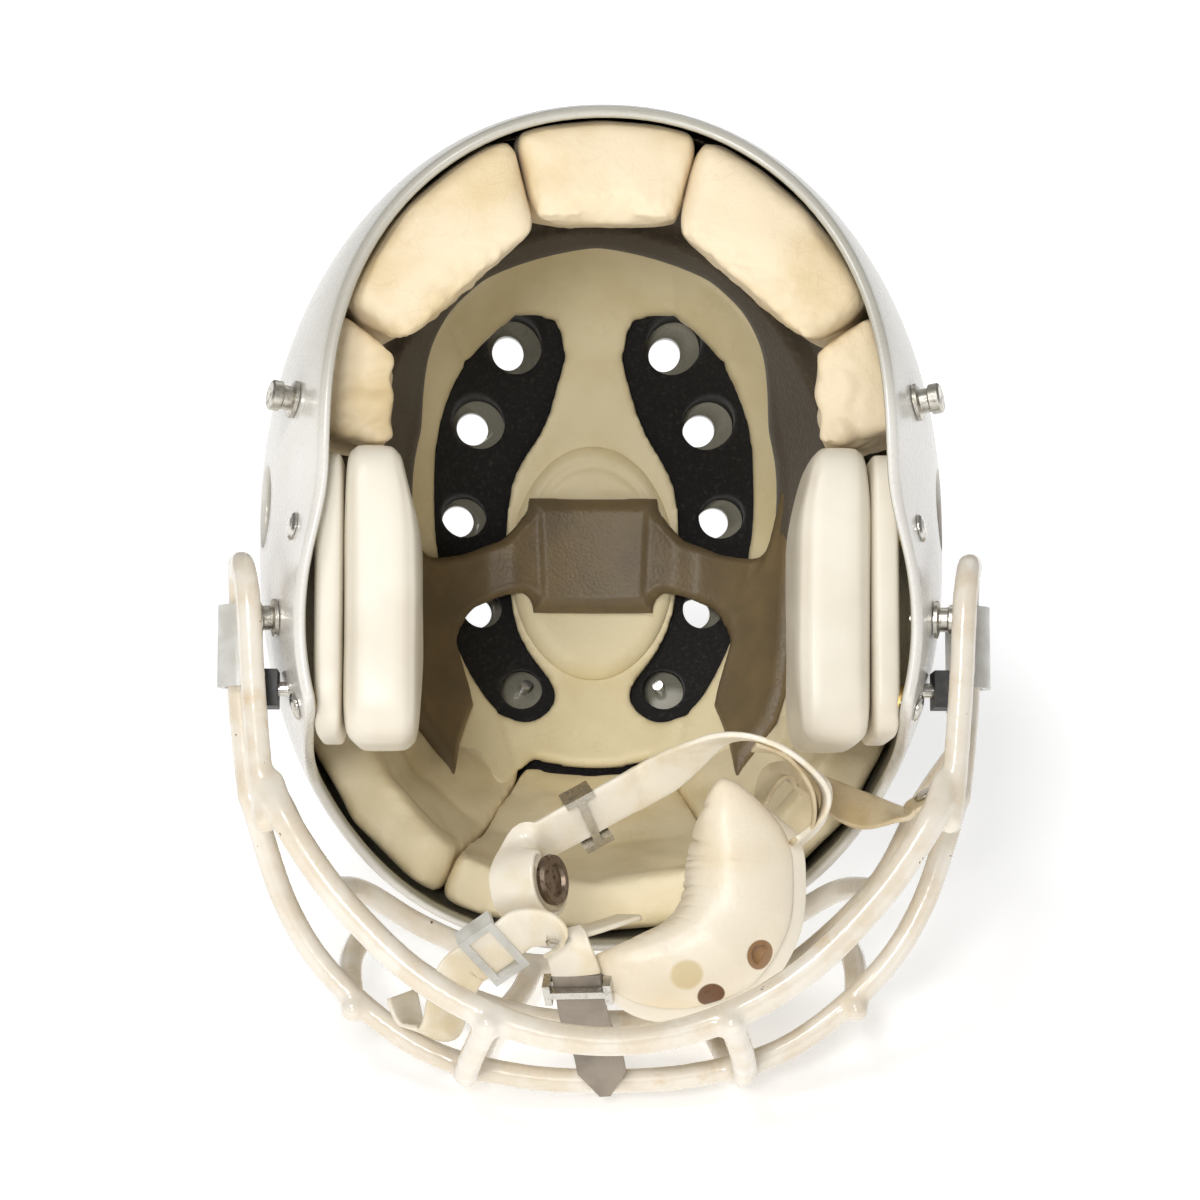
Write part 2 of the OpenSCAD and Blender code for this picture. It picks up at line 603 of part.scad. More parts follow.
// The right strap twists once and ends in a straight stretch with a rivet through it
pin_from = [97, -66.5, -101.5];
pin_to = [111.5, -69, -92];
pin_across = [0, 1, 0.3];
right_route = [[[57, -66, -88], [0, 1, 0.5]], [[70, -62, -93], [0.2, 0.8, 0.6]], [[84, -63, -103], [0.3, 0.3, 1]],
    for (t = [0:0.25:1]) [pin_from + (pin_to - pin_from) * t, pin_across]];
link_route = [[[-17.2, -95.2, -143], [0.1, 1, 0.2]], [[-5, -88, -139.5], [0.1, 1, 0.2]],
    [[7, -81.2, -135.6], [0.1, 1, 0.2]]];
module strap(route) {
    color("#f3f0ea") tape(route, strap_w, strap_t, 2);
}

module strap_snap() {
    color("silver") aim(roll_at + roll_axis * (strap_w / 2 + 0.8), roll_axis)
        rotate_extrude($fn = 40)
            polygon([[0, -1.5], [7.8, -1.5], [8.2, 0], [7.8, 1.4], [5, 1.8], [4.4, 0.6], [0, 0.6]]);
}
// Slide that the webbing threads through, over its middle bar and under its two ends
module slide_buckle(l) {
    w = strap_w + 1.2;
    for (x = both) translate([x * (w / 2 + 1.2) - 1.2, -l / 2, -3.9]) cube([2.4, l, 6.4]);
    for (y = [-1, 0, 1]) translate([-w / 2 - 1.2, y * (l / 2 - 1.3) - 1.3, y == 0 ? -3.9 : 1.5])
        cube([w + 2.4, 2.6, y == 0 ? 2.4 : 1]);
}
// Sets a drawing on a straight stretch of webbing: Y along it, X across it
module on_strap(a, b, across, t) {
    f = unit(b - a);
    c = unit(across - f * (across * f));
    h = cross(c, f);
    o = a + (b - a) * t;
    multmatrix([[c[0], f[0], h[0], o[0]], [c[1], f[1], h[1], o[1]], [c[2], f[2], h[2], o[2]]]) children();
}
module at_pin() {
    on_strap(pin_from, pin_to, pin_across, 0.55) children();
}
module strap_right() {
    difference() {
        strap(right_route);
        at_pin() cylinder(r = 1.8, h = 8, center = true, $fn = 32);
    }
}
module strap_rivet() {
    color("silver") at_pin() rotate_extrude($fn = 40)
        polygon([[0, -2.3], [2.6, -2.3], [3.6, -1.9], [3.6, -1.4], [1.5, -1.4], [1.5, 1.4], [3.6, 1.4], [3.6, 1.9],
            [2.6, 2.3], [0, 2.3]]);
}
module buckle_upper() {
    color("silver") on_strap(slide_from, slide_to, upper_across, 0.6) slide_buckle(10);
}
module buckle_lower() {
    color([0.9, 0.9, 0.88, 0.7]) on_strap(lower_from, lower_to, lower_across, 0.5) slide_buckle(13);
}

module buckle_end() {
    color("#9a9aa0") on_strap(tail_from, tail_to, tail_across, 0.3) slide_buckle(8);
}

module rest() {
    translate([0, rest_y, rest_z]) rotate([rest_tilt, 0, 0]) children();
}

rest() shell();
rest() guard_chin_bar();
rest() guard_second_bar();
rest() guard_upper_bar();
rest() guard_brow_bar();
rest() guard_loop(-1);  // guard_loop_left
rest() guard_loop(1);  // guard_loop_right
rest() guard_posts(inner_post);  // guard_inner_posts
rest() guard_posts(outer_post);  // guard_outer_posts
rest() side_clip(-1);  // side_clip_left
rest() side_clip(1);  // side_clip_right
rest() clip_spacers();
rest() brow_clips();
rest() guard_screws();
rest() snap_studs();
rest() jaw_pad_screws();
rest() tee_nuts();
rest() crown_screws();
rest() foam_liner();
rest() crown_pad();
rest() crown_disc();
rest() liner_band();
rest() back_pad_center();
rest() back_pad(-1);  // back_pad_left
rest() back_pad(1);  // back_pad_right
rest() side_pad(-1);  // side_pad_left
rest() side_pad(1);  // side_pad_right
rest() neck_foam();
rest() brow_pad();
rest() front_pad(-1);  // front_pad_left
rest() front_pad(1);  // front_pad_right
rest() jaw_pad(-1);  // jaw_pad_left
rest() jaw_pad(1);  // jaw_pad_right
rest() jaw_base(-1);  // jaw_base_left
rest() jaw_base(1);  // jaw_base_right
rest() chin_cup();
rest() chin_cup_pad();
rest() strap(upper_route);  // strap_upper
rest() strap(lower_route);  // strap_lower
rest() strap_right();
rest() strap(link_route);  // strap_link
rest() strap_rivet();
rest() buckle_upper();
rest() buckle_lower();
rest() buckle_end();
rest() strap_snap();
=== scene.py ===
# %% [markdown]
# A football helmet lies face down on its wire guard, and we look into it through the neck
# opening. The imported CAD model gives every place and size. This script dresses it: smooth
# surfaces instead of facets, cushions with folds, coated webbing, and a finish for each part.

# %% Load the frame
import math
import bmesh
import bpy
import numpy as np
from mathutils import Matrix, Vector


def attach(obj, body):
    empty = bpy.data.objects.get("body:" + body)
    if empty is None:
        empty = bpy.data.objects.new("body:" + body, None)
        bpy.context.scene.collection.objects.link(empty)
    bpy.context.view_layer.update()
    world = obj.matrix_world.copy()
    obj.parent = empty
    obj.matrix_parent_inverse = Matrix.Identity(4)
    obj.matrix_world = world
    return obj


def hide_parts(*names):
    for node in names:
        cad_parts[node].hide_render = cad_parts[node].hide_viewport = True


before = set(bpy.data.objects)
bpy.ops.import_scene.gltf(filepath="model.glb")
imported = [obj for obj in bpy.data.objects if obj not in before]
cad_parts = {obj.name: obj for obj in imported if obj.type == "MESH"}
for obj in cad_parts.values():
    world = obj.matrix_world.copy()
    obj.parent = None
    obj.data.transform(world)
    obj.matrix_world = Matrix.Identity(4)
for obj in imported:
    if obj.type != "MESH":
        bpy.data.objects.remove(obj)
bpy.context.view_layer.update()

# %% [markdown]
# The CAD source draws the helmet in a head frame in millimetres: X to the wearer's right, Y
# from the neck to the crown, Z from the forehead to the back. It is then turned and moved to
# lie on the ground. The same turn and move bring our own surfaces into place.

# %% From the head frame to the ground
TILT = math.radians(-28.4)
REST = np.array([0.0, 21.8, 147.7])
TURN = np.array([[1, 0, 0], [0, math.cos(TILT), -math.sin(TILT)], [0, math.sin(TILT), math.cos(TILT)]])


def rest(points):
    """Head-frame points in mm, turned about X and moved onto the ground, in metres."""
    return (np.asarray(points, float) @ TURN.T + REST) / 1000


def unit(v):
    """Each vector divided by its own length."""
    return v / np.linalg.norm(v, axis=-1, keepdims=True)


def ease(t):
    """Smooth step: 3 t^2 - 2 t^3 with t held between 0 and 1."""
    t = np.clip(t, 0, 1)
    return t * t * (3 - 2 * t)


def soft(x, power):
    """The size of x raised to a power, with the sign of x kept."""
    return np.sign(x) * np.abs(x) ** power


# %% [markdown]
# The camera stands 1.2 m in front of the neck opening, a little below the head's own axis,
# with a long lens, as the photograph's small perspective shows.

# %% Camera
AIM = np.array([0, 0, -23.0])
SWING, DIP = math.radians(-1.5), math.radians(-7)
DISTANCE, LENS, SENSOR = 1200, 103.3, 36
toward = np.array([math.sin(SWING) * math.cos(DIP), -math.cos(SWING) * math.cos(DIP), math.sin(DIP)])
right = np.array([math.cos(SWING), math.sin(SWING), 0])
over = np.cross(toward, right)
camera = bpy.data.objects.new("Camera", bpy.data.cameras.new("Camera"))
bpy.context.scene.collection.objects.link(camera)
camera.data.lens = LENS
camera.data.sensor_width = SENSOR
axes = Matrix((TURN @ np.stack([right, over, toward], 1)).tolist()).to_4x4()
camera.matrix_world = Matrix.Translation(Vector(rest(AIM + DISTANCE * toward))) @ axes
bpy.context.scene.camera = camera

# %% [markdown]
# The light is plain and soft. Two panels stand above and beside the camera, a wider one stands
# behind the helmet, and a dim even surround fills the shadows. The camera itself sees the
# surround as white, so that a level view has a pale background too.

# %% Surround and lights
bpy.context.scene.view_settings.view_transform = "Standard"
world = bpy.data.worlds.new("Surround")
bpy.context.scene.world = world
world.use_nodes = True
surround = world.node_tree.nodes["Background"].inputs
surround["Color"].default_value = (1, 1, 1, 1)
lit = world.node_tree.nodes.new("ShaderNodeMapRange")
lit.inputs["To Min"].default_value, lit.inputs["To Max"].default_value = 0.24, 1.0
seen = world.node_tree.nodes.new("ShaderNodeLightPath").outputs["Is Camera Ray"]
world.node_tree.links.new(seen, lit.inputs["Value"])
world.node_tree.links.new(lit.outputs[0], surround["Strength"])
HELMET_MIDDLE = Vector((0, 0, 0.15))


def panel(name, place, size, power):
    """A square area light, turned to face the helmet's middle: its -Z looks along aim - place."""
    data = bpy.data.lights.new(name, "AREA")
    data.size = size
    data.energy = power
    light = bpy.data.objects.new(name, data)
    bpy.context.scene.collection.objects.link(light)
    light.location = place
    light.rotation_euler = (HELMET_MIDDLE - Vector(place)).to_track_quat("-Z", "Y").to_euler()


panel("Key_Panel", (-0.45, -1.0, 1.6), 0.4, 9.5)
panel("Front_Panel", (-0.2, -1.3, 0.8), 0.22, 7.6)
panel("Back_Panel", (0.4, 1.3, 1.5), 1.2, 4)

# %% [markdown]
# A finish is a small tree of nodes. One helper turns sRGB hex colours into the linear numbers
# that Blender uses, and one adds a node with its settings and links. Patterns read Object
# coordinates, which are the row frame in metres, so sizes in millimetres become scales.

# %% Helpers for finishes
def shade(code):
    """An sRGB hex colour as linear RGBA: x / 12.92 below 0.04045, and above that
    ((x + 0.055) / 1.055) ^ 2.4."""
    x = np.array([int(code[i:i + 2], 16) for i in (0, 2, 4)]) / 255
    linear = np.where(x <= 0.04045, x / 12.92, ((x + 0.055) / 1.055) ** 2.4)
    return (*linear.tolist(), 1.0)


def mm(size):
    """The scale of a pattern whose cells or clouds are size mm across: 1000 / size."""
    return 1000 / size


def add(tree, kind, *values, **settings):
    """Adds one node. The values go to its first input sockets in turn. A setting is a property's
    name, or an input socket's name with spaces as underscores. A socket as a value is linked, a
    hex colour is made linear, and anything else is copied."""
    node = tree.nodes.new("ShaderNode" + kind)
    named = []
    for key, value in settings.items():
        if hasattr(node, key):
            setattr(node, key, value)
        else:
            name = key.replace("_", " ")
            named.append((next(s for s in node.inputs if s.name == name and s.enabled), value))
    for socket, value in [*zip(node.inputs, values), *named]:
        if isinstance(value, bpy.types.NodeSocket):
            tree.links.new(value, socket)
        else:
            socket.default_value = shade(value) if isinstance(value, str) else value
    return node


def tones(tree, source, low, high, a, b):
    """Colour a where the source is below low and colour b where it is above high, smooth between."""
    part = add(tree, "MapRange", interpolation_type="SMOOTHSTEP", Value=source,
               From_Min=low, From_Max=high)
    return add(tree, "Mix", data_type="RGBA", Factor=part.outputs[0], A=a, B=b).outputs[2]


def finish(name, **settings):
    """A new material: gives the material, its tree, its shader and the Object coordinates."""
    material = bpy.data.materials.new(name)
    material.use_nodes = True
    tree = material.node_tree
    shader = tree.nodes["Principled BSDF"]
    for key, value in settings.items():
        shader.inputs[key.replace("_", " ")].default_value = value
    return material, tree, shader, add(tree, "TexCoord").outputs["Object"]


def feed(shader, **links):
    """Links sockets to the shader's inputs, which are named with spaces as underscores."""
    for key, socket in links.items():
        shader.id_data.links.new(socket, shader.inputs[key.replace("_", " ")])


def dent(tree, shader, height, depth):
    """Bumps the surface by a height map; depth is the map's full height in mm."""
    feed(shader, Normal=add(tree, "Bump", Height=height, Distance=depth / 1000, Strength=1.0).outputs[0])


# %% [markdown]
# The shell is injection-moulded polycarbonate: white and slightly yellowed, under a clear gloss
# with fine scuffs. A point attribute is 1 on the inside of the wall, which it paints greyer as
# painted shade, and part of that painted shade also lies low on the outside at the back.

# %% Finish of the shell: white moulded polycarbonate
polycarbonate, tree, shader, place = finish("Moulded_White_Polycarbonate", IOR=1.58,
                                            Coat_Weight=0.25, Coat_Roughness=0.12)
clouds = add(tree, "TexNoise", Vector=place, Scale=mm(60), Detail=4).outputs[0]
long = add(tree, "Mapping", Vector=place, Scale=(1, 4, 1)).outputs[0]
scuffs = add(tree, "TexNoise", Vector=long, Scale=mm(3), Detail=6, Roughness=0.7).outputs[0]
# Painted shade: where the point attribute is 1, the tone is mixed towards a darker grey-beige.
painted_shade = add(tree, "Attribute", attribute_name="painted_shade").outputs["Fac"]
tone = tones(tree, clouds, 0.35, 0.7, "e6e3dc", "dcd7ce")
tone = add(tree, "Mix", data_type="RGBA", Factor=painted_shade, A=tone, B="a8a391").outputs[2]
rough = add(tree, "MapRange", Value=scuffs, From_Min=0.3, From_Max=0.8, To_Min=0.22, To_Max=0.42).outputs[0]
feed(shader, Base_Color=tones(tree, scuffs, 0.62, 0.8, tone, "cfcbc2"), Roughness=rough)
dent(tree, shader, add(tree, "TexNoise", Vector=place, Scale=mm(9), Detail=2).outputs[0], 0.02)

# %% [markdown]
# The guard is steel wire dipped in plastisol. The dip leaves a thick, glossy, slightly wavy
# cream coat, with a few tan stains and brown chips.

# %% Finish of the guard: plastisol dip with chips and stains
plastisol, tree, shader, place = finish("Dipped_Cream_Plastisol", IOR=1.52,
                                        Coat_Weight=0.5, Coat_Roughness=0.08)
waves = add(tree, "TexNoise", Vector=place, Scale=mm(14), Detail=3).outputs[0]
stains = add(tree, "TexNoise", Vector=place, Scale=mm(22), Detail=5, Roughness=0.65).outputs[0]
chips = add(tree, "TexNoise", Vector=place, Scale=mm(5), Detail=4, Roughness=0.6).outputs[0]
coat = tones(tree, waves, 0.35, 0.7, "ebe3d5", "dfd1ba")
coat = tones(tree, stains, 0.62, 0.76, coat, "d9c09b")
rough = add(tree, "MapRange", Value=waves, To_Min=0.16, To_Max=0.34).outputs[0]
feed(shader, Base_Color=tones(tree, chips, 0.715, 0.735, coat, "5a3a28"), Roughness=rough)
dent(tree, shader, waves, 0.12)

# %% [markdown]
# Every cushion is soft foam dipped in vinyl. The skin is matt, creases finely where it is
# pinched, and has yellowed from warm cream to tan. The chin cup's skin also has an old round
# stain, and two vent holes painted brown in and round them: the foam's own brown, darkened as painted shade.

# %% Finish of the cushions: vinyl-dipped foam
def vinyl(name, pale, worn, crease, cell=4.5, creased=0.3, gloss=0.5, stains_and_shade=()):
    """A creased vinyl skin: two tones in clouds, and a net of fine lines, cell mm apart, that
    fades in and out. creased is how dark the lines get. Each mark, a real stain or the painted
    shade of a vent hole, is a centre in the head frame, an inner and an outer radius in mm, and a colour."""
    material, tree, shader, place = finish(name, IOR=1.5, Roughness=gloss, Sheen_Weight=0.08)
    drift = add(tree, "TexNoise", Vector=place, Scale=mm(11), Detail=3).outputs["Color"]
    bent = add(tree, "VectorMath", drift, (0.005, 0.005, 0.005), place, operation="MULTIPLY_ADD").outputs[0]
    net = add(tree, "TexVoronoi", feature="DISTANCE_TO_EDGE", Vector=bent, Scale=mm(cell)).outputs[0]
    line = add(tree, "MapRange", Value=net, From_Max=0.05, To_Min=1, To_Max=0).outputs[0]
    patches = add(tree, "TexNoise", Vector=place, Scale=mm(24), Detail=3).outputs[0]
    where = add(tree, "MapRange", Value=patches, From_Min=0.5, From_Max=0.7, To_Max=creased).outputs[0]
    lines = add(tree, "Math", line, where, operation="MULTIPLY").outputs[0]
    clouds = add(tree, "TexNoise", Vector=place, Scale=mm(38), Detail=4, Roughness=0.55).outputs[0]
    tone = tones(tree, clouds, 0.4, 0.72, pale, worn)
    tone = add(tree, "Mix", data_type="RGBA", Factor=lines, A=tone, B=crease).outputs[2]
    # Each entry paints a real stain, or a vent hole's painted shade, inside its radii.
    for spot, low, high, mark in stains_and_shade:
        far = add(tree, "VectorMath", place, rest(spot).tolist(), operation="DISTANCE").outputs["Value"]
        tone = tones(tree, far, low / 1000, high / 1000, mark, tone)
    feed(shader, Base_Color=tone)
    pores = add(tree, "TexNoise", Vector=place, Scale=mm(1.6), Detail=3, Roughness=0.6).outputs[0]
    dent(tree, shader, add(tree, "Math", pores, lines, operation="SUBTRACT").outputs[0], 0.14)
    return material


neck_vinyl = vinyl("Vinyl_Cream_Neck_Pads", "ecdab9", "dcc598", "b08f62", cell=6, creased=0.22)
crown_vinyl = vinyl("Vinyl_Cream_Crown_Pad", "f9ebc3", "ecdcae", "a98f66", creased=0.12)
brow_vinyl = vinyl("Vinyl_Cream_Brow_Pads", "f3e5c2", "e4d2a5", "a98c60", creased=0.18)
# The first entry is a real stain. The other two paint each vent hole and a ring round it in the foam's
# brown, darkened as painted shade, the second one darker.
CUP_STAIN_AND_HOLE_SHADE = [([25, -104, -156], 7, 8.2, "dac79d"), ([48.5, -97, -148], 4.6, 5.1, "94704a"),
             ([33, -97, -162], 4.8, 5.3, "6e4c30")]
cup_vinyl = vinyl("Vinyl_Pale_Chin_Cup", "f0e5d0", "e6d5b4", "c3a67c", creased=0.08, gloss=0.36,
                  stains_and_shade=CUP_STAIN_AND_HOLE_SHADE)

# %% [markdown]
# The jaw pads have a smooth moulded skin: warm white, almost without creases.

# %% Finish of the jaw pads: smooth moulded vinyl
jaw_vinyl, tree, shader, place = finish("Moulded_Vinyl_White_Jaw_Pads", IOR=1.5,
                                        Coat_Weight=0.15, Coat_Roughness=0.25)
clouds = add(tree, "TexNoise", Vector=place, Scale=mm(40), Detail=3).outputs[0]
shine = add(tree, "TexNoise", Vector=place, Scale=mm(12), Detail=4).outputs[0]
feed(shader, Base_Color=tones(tree, clouds, 0.4, 0.7, "e8e0cf", "ded4c1"),
     Roughness=add(tree, "MapRange", Value=shine, To_Min=0.34, To_Max=0.5).outputs[0])
dent(tree, shader, add(tree, "TexNoise", Vector=place, Scale=mm(1.4), Detail=2).outputs[0], 0.03)

# %% [markdown]
# Under the cream skin lies black closed-cell foam, seen in the two kidney windows and down the
# vent holes. It is matt and grainy, with a fuzz of dust that catches the light. The sheet
# behind the neck cushions is brown.

# %% Finish of the liner foam: closed-cell foam
def foam(name, dark, dust, grain):
    """A matt foam: dark, with paler dust in the tops of its grain, which is grain mm wide."""
    material, tree, shader, place = finish(name, Roughness=0.92, IOR=1.4,
                                           Sheen_Weight=0.25, Sheen_Roughness=0.5)
    cells = add(tree, "TexNoise", Vector=place, Scale=mm(grain), Detail=4, Roughness=0.7).outputs[0]
    feed(shader, Base_Color=tones(tree, cells, 0.5, 0.78, dark, dust))
    dent(tree, shader, cells, 0.35)
    return material


black_foam = foam("Foam_Black_Liner", "1b1a1a", "3c3936", 1.6)
neck_foam_finish = foam("Foam_Brown_Neck", "594f40", "6f6452", 1.8)

# %% [markdown]
# The band over the crown is moulded polyethylene, dark taupe, with a fine leather-like grain
# on its satin face.

# %% Finish of the band: grained taupe polyethylene
taupe, tree, shader, place = finish("Moulded_Taupe_Polyethylene", IOR=1.51, Roughness=0.48)
grain = add(tree, "TexVoronoi", feature="F1", Vector=place, Scale=mm(1.3)).outputs["Distance"]
clouds = add(tree, "TexNoise", Vector=place, Scale=mm(25), Detail=4).outputs[0]
feed(shader, Base_Color=tones(tree, clouds, 0.35, 0.7, "71624a", "827050"))
dent(tree, shader, grain, 0.12)

# %% [markdown]
# The straps are webbing coated with vinyl: glossy off-white and a little yellowed. The beige
# one lets some light through, and the tail is greyer and duller.

# %% Finishes of the webbing
def coated(name, pale, worn, gloss, see_through):
    """Coated webbing: clouds of two colours, a faint weave and a little light through it."""
    material, tree, shader, place = finish(name, IOR=1.5, Roughness=gloss, Coat_Weight=0.3,
                                           Coat_Roughness=0.15, Transmission_Weight=see_through)
    clouds = add(tree, "TexNoise", Vector=place, Scale=mm(18), Detail=4).outputs[0]
    weave = add(tree, "TexVoronoi", feature="F1", Vector=place, Scale=mm(1.1)).outputs["Distance"]
    feed(shader, Base_Color=tones(tree, clouds, 0.4, 0.68, pale, worn))
    dent(tree, shader, weave, 0.06)
    return material


white_webbing = coated("Webbing_White_Coated", "efe6d4", "e3d3b0", 0.3, 0.0)
beige_webbing = coated("Webbing_Beige_Coated", "d9c8a6", "bfa97f", 0.38, 0.12)
grey_webbing = coated("Webbing_Grey_Tail", "978c7d", "7d7366", 0.5, 0.0)

# %% [markdown]
# Small metal parts are nickel-plated steel with hairline scratches and dull spots. The snap
# has rusted, and the nuts behind the flaps are tarnished brass. Metals keep the default IOR.

# %% Finishes of the metal parts
def metal(name, bright, dull, low, high, scratch=0.012):
    """A plated metal: bright and dull patches, with roughness between low and high."""
    material, tree, shader, place = finish(name, Metallic=1.0)
    spots = add(tree, "TexNoise", Vector=place, Scale=mm(2.5), Detail=5, Roughness=0.65).outputs[0]
    long = add(tree, "Mapping", Vector=place, Scale=(1, 1, 9)).outputs[0]
    hair = add(tree, "TexNoise", Vector=long, Scale=mm(1.2), Detail=3).outputs[0]
    rough = add(tree, "MapRange", Value=spots, From_Min=0.35, From_Max=0.7,
                To_Min=low, To_Max=high).outputs[0]
    feed(shader, Base_Color=tones(tree, spots, 0.5, 0.72, bright, dull), Roughness=rough)
    dent(tree, shader, hair, scratch)
    return material


nickel = metal("Nickel_Plated_Steel", "cfccc4", "aaa59b", 0.18, 0.34)
dull_nickel = metal("Dull_Nickel_Studs", "c9c5bb", "857c6e", 0.26, 0.5)
rusty = metal("Rusted_Snap", "857667", "4a3527", 0.3, 0.6, 0.04)
brass = metal("Tarnished_Brass", "b89a5a", "6e5530", 0.35, 0.6)

# %% [markdown]
# The loop clips and the lower slide are clear moulded plastic that has gone a little milky,
# and the spacers are plain black nylon. Both wear to uneven gloss.

# %% Finishes of the plastic parts
def plastic(name, cloud, start, fresh, worn, low, high, **settings):
    """A moulded plastic: two tones in clouds of cloud mm, which also carry the roughness from
    low to high."""
    material, tree, shader, place = finish(name, **settings)
    clouds = add(tree, "TexNoise", Vector=place, Scale=mm(cloud), Detail=4).outputs[0]
    feed(shader, Base_Color=tones(tree, clouds, start, 0.7, fresh, worn),
         Roughness=add(tree, "MapRange", Value=clouds, To_Min=low, To_Max=high).outputs[0])
    return material


milky = plastic("Milky_Clear_Plastic", 6, 0.35, "f4f3ee", "e4e2d9", 0.2, 0.45, IOR=1.49,
                Transmission_Weight=0.45, Coat_Weight=0.2)
black_nylon = plastic("Black_Nylon", 3, 0.4, "1d1d1f", "343331", 0.4, 0.65, IOR=1.53)

# %% [markdown]
# The helmet's wall is one function of three numbers: the direction round the head, the height
# from the crown down to the neck, and the depth in from the outside. The CAD source uses the
# same formula, so a surface worked out here lies where the solid lies.

# %% The wall as whole arrays
HALF_WIDTH, LENGTH, CROWN, SKIRT = 118.0, 145.0, 135.0, 110.0
BOWL, LINER_DEPTH = 2.3, 24.0
sin_of = lambda a: np.sin(np.radians(a))
cos_of = lambda a: np.cos(np.radians(a))


def plan_radius(a, d):
    """Superellipse: (|sin a| / (width - d))^n + (|cos a| / (length - d))^n, to the power -1/n."""
    n = np.where(cos_of(a) >= 0, 2.1, 2.3)
    across, along = np.abs(sin_of(a)) / (HALF_WIDTH - d), np.abs(cos_of(a)) / (LENGTH - d)
    return (across ** n + along ** n) ** (-1 / n)


def wall(a, s, d):
    """Point at direction a (degrees from the back), row s (1 crown, 0 widest, -1 neck), depth d.
    Height follows sin(90 s)^(2/2.3), radius follows cos(90 s)^(2/2.3), and below the widest row
    the radius draws in by a tuck that grows with the square of the drop."""
    a, s, d = np.broadcast_arrays(np.asarray(a, float), np.asarray(s, float), np.asarray(d, float))
    k = 2 / BOWL
    up = np.clip(s, 0, 1)
    y = np.where(s >= 0, (CROWN - d) * sin_of(90 * up) ** k, SKIRT * s)
    low = np.maximum(0, -y / 105)
    tuck = 22 + 3 * ease(np.abs(a) / 90) - 18 * ease((np.abs(a) - 85) / 45)
    r = plan_radius(a, d) * np.clip(cos_of(90 * up), 0, 1) ** k - tuck * low ** 2
    b = a + 5 * np.sign(a) * ease((np.abs(a) - 100) / 28) * np.minimum(1, low)
    return np.stack([r * sin_of(b), y, r * cos_of(b)], -1)


def rim_height(a):
    """Height of the rim: deepest at the jaw flaps, then up two steps to the brow."""
    b = np.abs(a)
    return (-85 - 19 * ease((b - 25) / 60) - 4 * ease((b - 85) / 30)
            + 92 * ease((b - 121) / 11) + 36 * ease((b - 130) / 38))


def row_of(y):
    """The row s whose height on the outside is y: the wall's height formula turned round."""
    high = np.degrees(np.arcsin(np.clip(np.maximum(y, 0) / CROWN, 0, 1) ** (BOWL / 2))) / 90
    return np.where(np.asarray(y) < 0, np.asarray(y) / SKIRT, high)


def on_plan(x, z, d):
    """The wall point at depth d with the direction and row of plan position x, z on the liner."""
    a = np.degrees(np.arctan2(x, z))
    q = np.minimum(1, np.hypot(x, z) / plan_radius(a, LINER_DEPTH))
    return wall(a, np.degrees(np.arccos(q ** (BOWL / 2))) / 90, d)


# %% [markdown]
# Nearly every new piece is a closed grid: rows run from one end to the other, columns run
# round, and the first and last rows shrink to a point. That is a sphere pulled into shape, so
# its seams and poles close when doubles are merged.

# %% Grids into meshes
WELD = 0.00002


def grid_faces(m, n):
    """Quads of m rows by n columns, with the last column joined to the first."""
    i, j = np.meshgrid(np.arange(m - 1), np.arange(n), indexing="ij")
    k = (j + 1) % n
    return np.stack([i * n + j, i * n + k, (i + 1) * n + k, (i + 1) * n + j], -1).reshape(-1, 4)


def close_ends(body):
    """Adds a row at each end of a grid, with all its points in the middle of its neighbour row."""
    first, last = (row.mean(1, keepdims=True) + 0 * row for row in (body[:1], body[-1:]))
    return np.concatenate([first, body, last])


def mesh_piece(name, points, faces, material):
    """A mesh object at the origin from head-frame points in mm: doubles merged, normals out."""
    mesh = bpy.data.meshes.new(name)
    mesh.from_pydata(rest(points.reshape(-1, 3)).tolist(), [], faces.tolist())
    work = bmesh.new()
    work.from_mesh(mesh)
    bmesh.ops.remove_doubles(work, verts=work.verts, dist=WELD)
    bmesh.ops.dissolve_degenerate(work, edges=work.edges, dist=WELD / 10)
    bmesh.ops.recalc_face_normals(work, faces=work.faces)
    work.to_mesh(mesh)
    work.free()
    mesh.polygons.foreach_set("use_smooth", np.ones(len(mesh.polygons), bool))
    piece = bpy.data.objects.new(name, mesh)
    bpy.context.scene.collection.objects.link(piece)
    mesh.materials.append(material)
    return piece


def grid_piece(name, grid, material):
    """A closed grid of head-frame points, rows by columns, as a mesh object."""
    m, n = grid.shape[:2]
    return mesh_piece(name, grid, grid_faces(m, n), material)


def dress(piece, body, slot, *nodes):
    """Makes the piece ride on its body and hides the CAD nodes it replaces. The slot is not used."""
    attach(piece, body)
    if nodes:
        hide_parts(*nodes)
    print(piece.name, len(piece.data.polygons), "faces")
    return piece


def apply_all(piece):
    """Applies every modifier: the evaluated mesh takes the place of the plain one."""
    shown = piece.evaluated_get(bpy.context.evaluated_depsgraph_get())
    done = bpy.data.meshes.new_from_object(shown)
    piece.modifiers.clear()
    piece.data = done
    return piece


def cut(piece, *tools, operation="DIFFERENCE"):
    """Cuts the piece with closed tool meshes, which are then removed."""
    for tool in tools:
        boolean = piece.modifiers.new("Cut", "BOOLEAN")
        boolean.operation = operation
        boolean.solver = "EXACT"
        boolean.object = tool
    apply_all(piece)
    for tool in tools:
        bpy.data.objects.remove(tool)
    return piece


def relax(piece, rounds):
    """Moves each point towards the middle of its neighbours, rounds times: edges turn round."""
    piece.modifiers.new("Relax", "SMOOTH").iterations = rounds
    return apply_all(piece)


def soften(piece, voxel, rounds):
    """Remeshes at voxel mm and relaxes the surface, which rounds every edge like a dip coat."""
    remesh = piece.modifiers.new("Voxels", "REMESH")
    remesh.mode = "VOXEL"
    remesh.voxel_size = voxel / 1000
    remesh.use_smooth_shade = True
    return relax(piece, rounds)


# %% [markdown]
# A smooth surface looks dead until it is uneven. Waves are sums of sines, so they can be worked
# out for every point at once, and a push moves the points out or in by them.

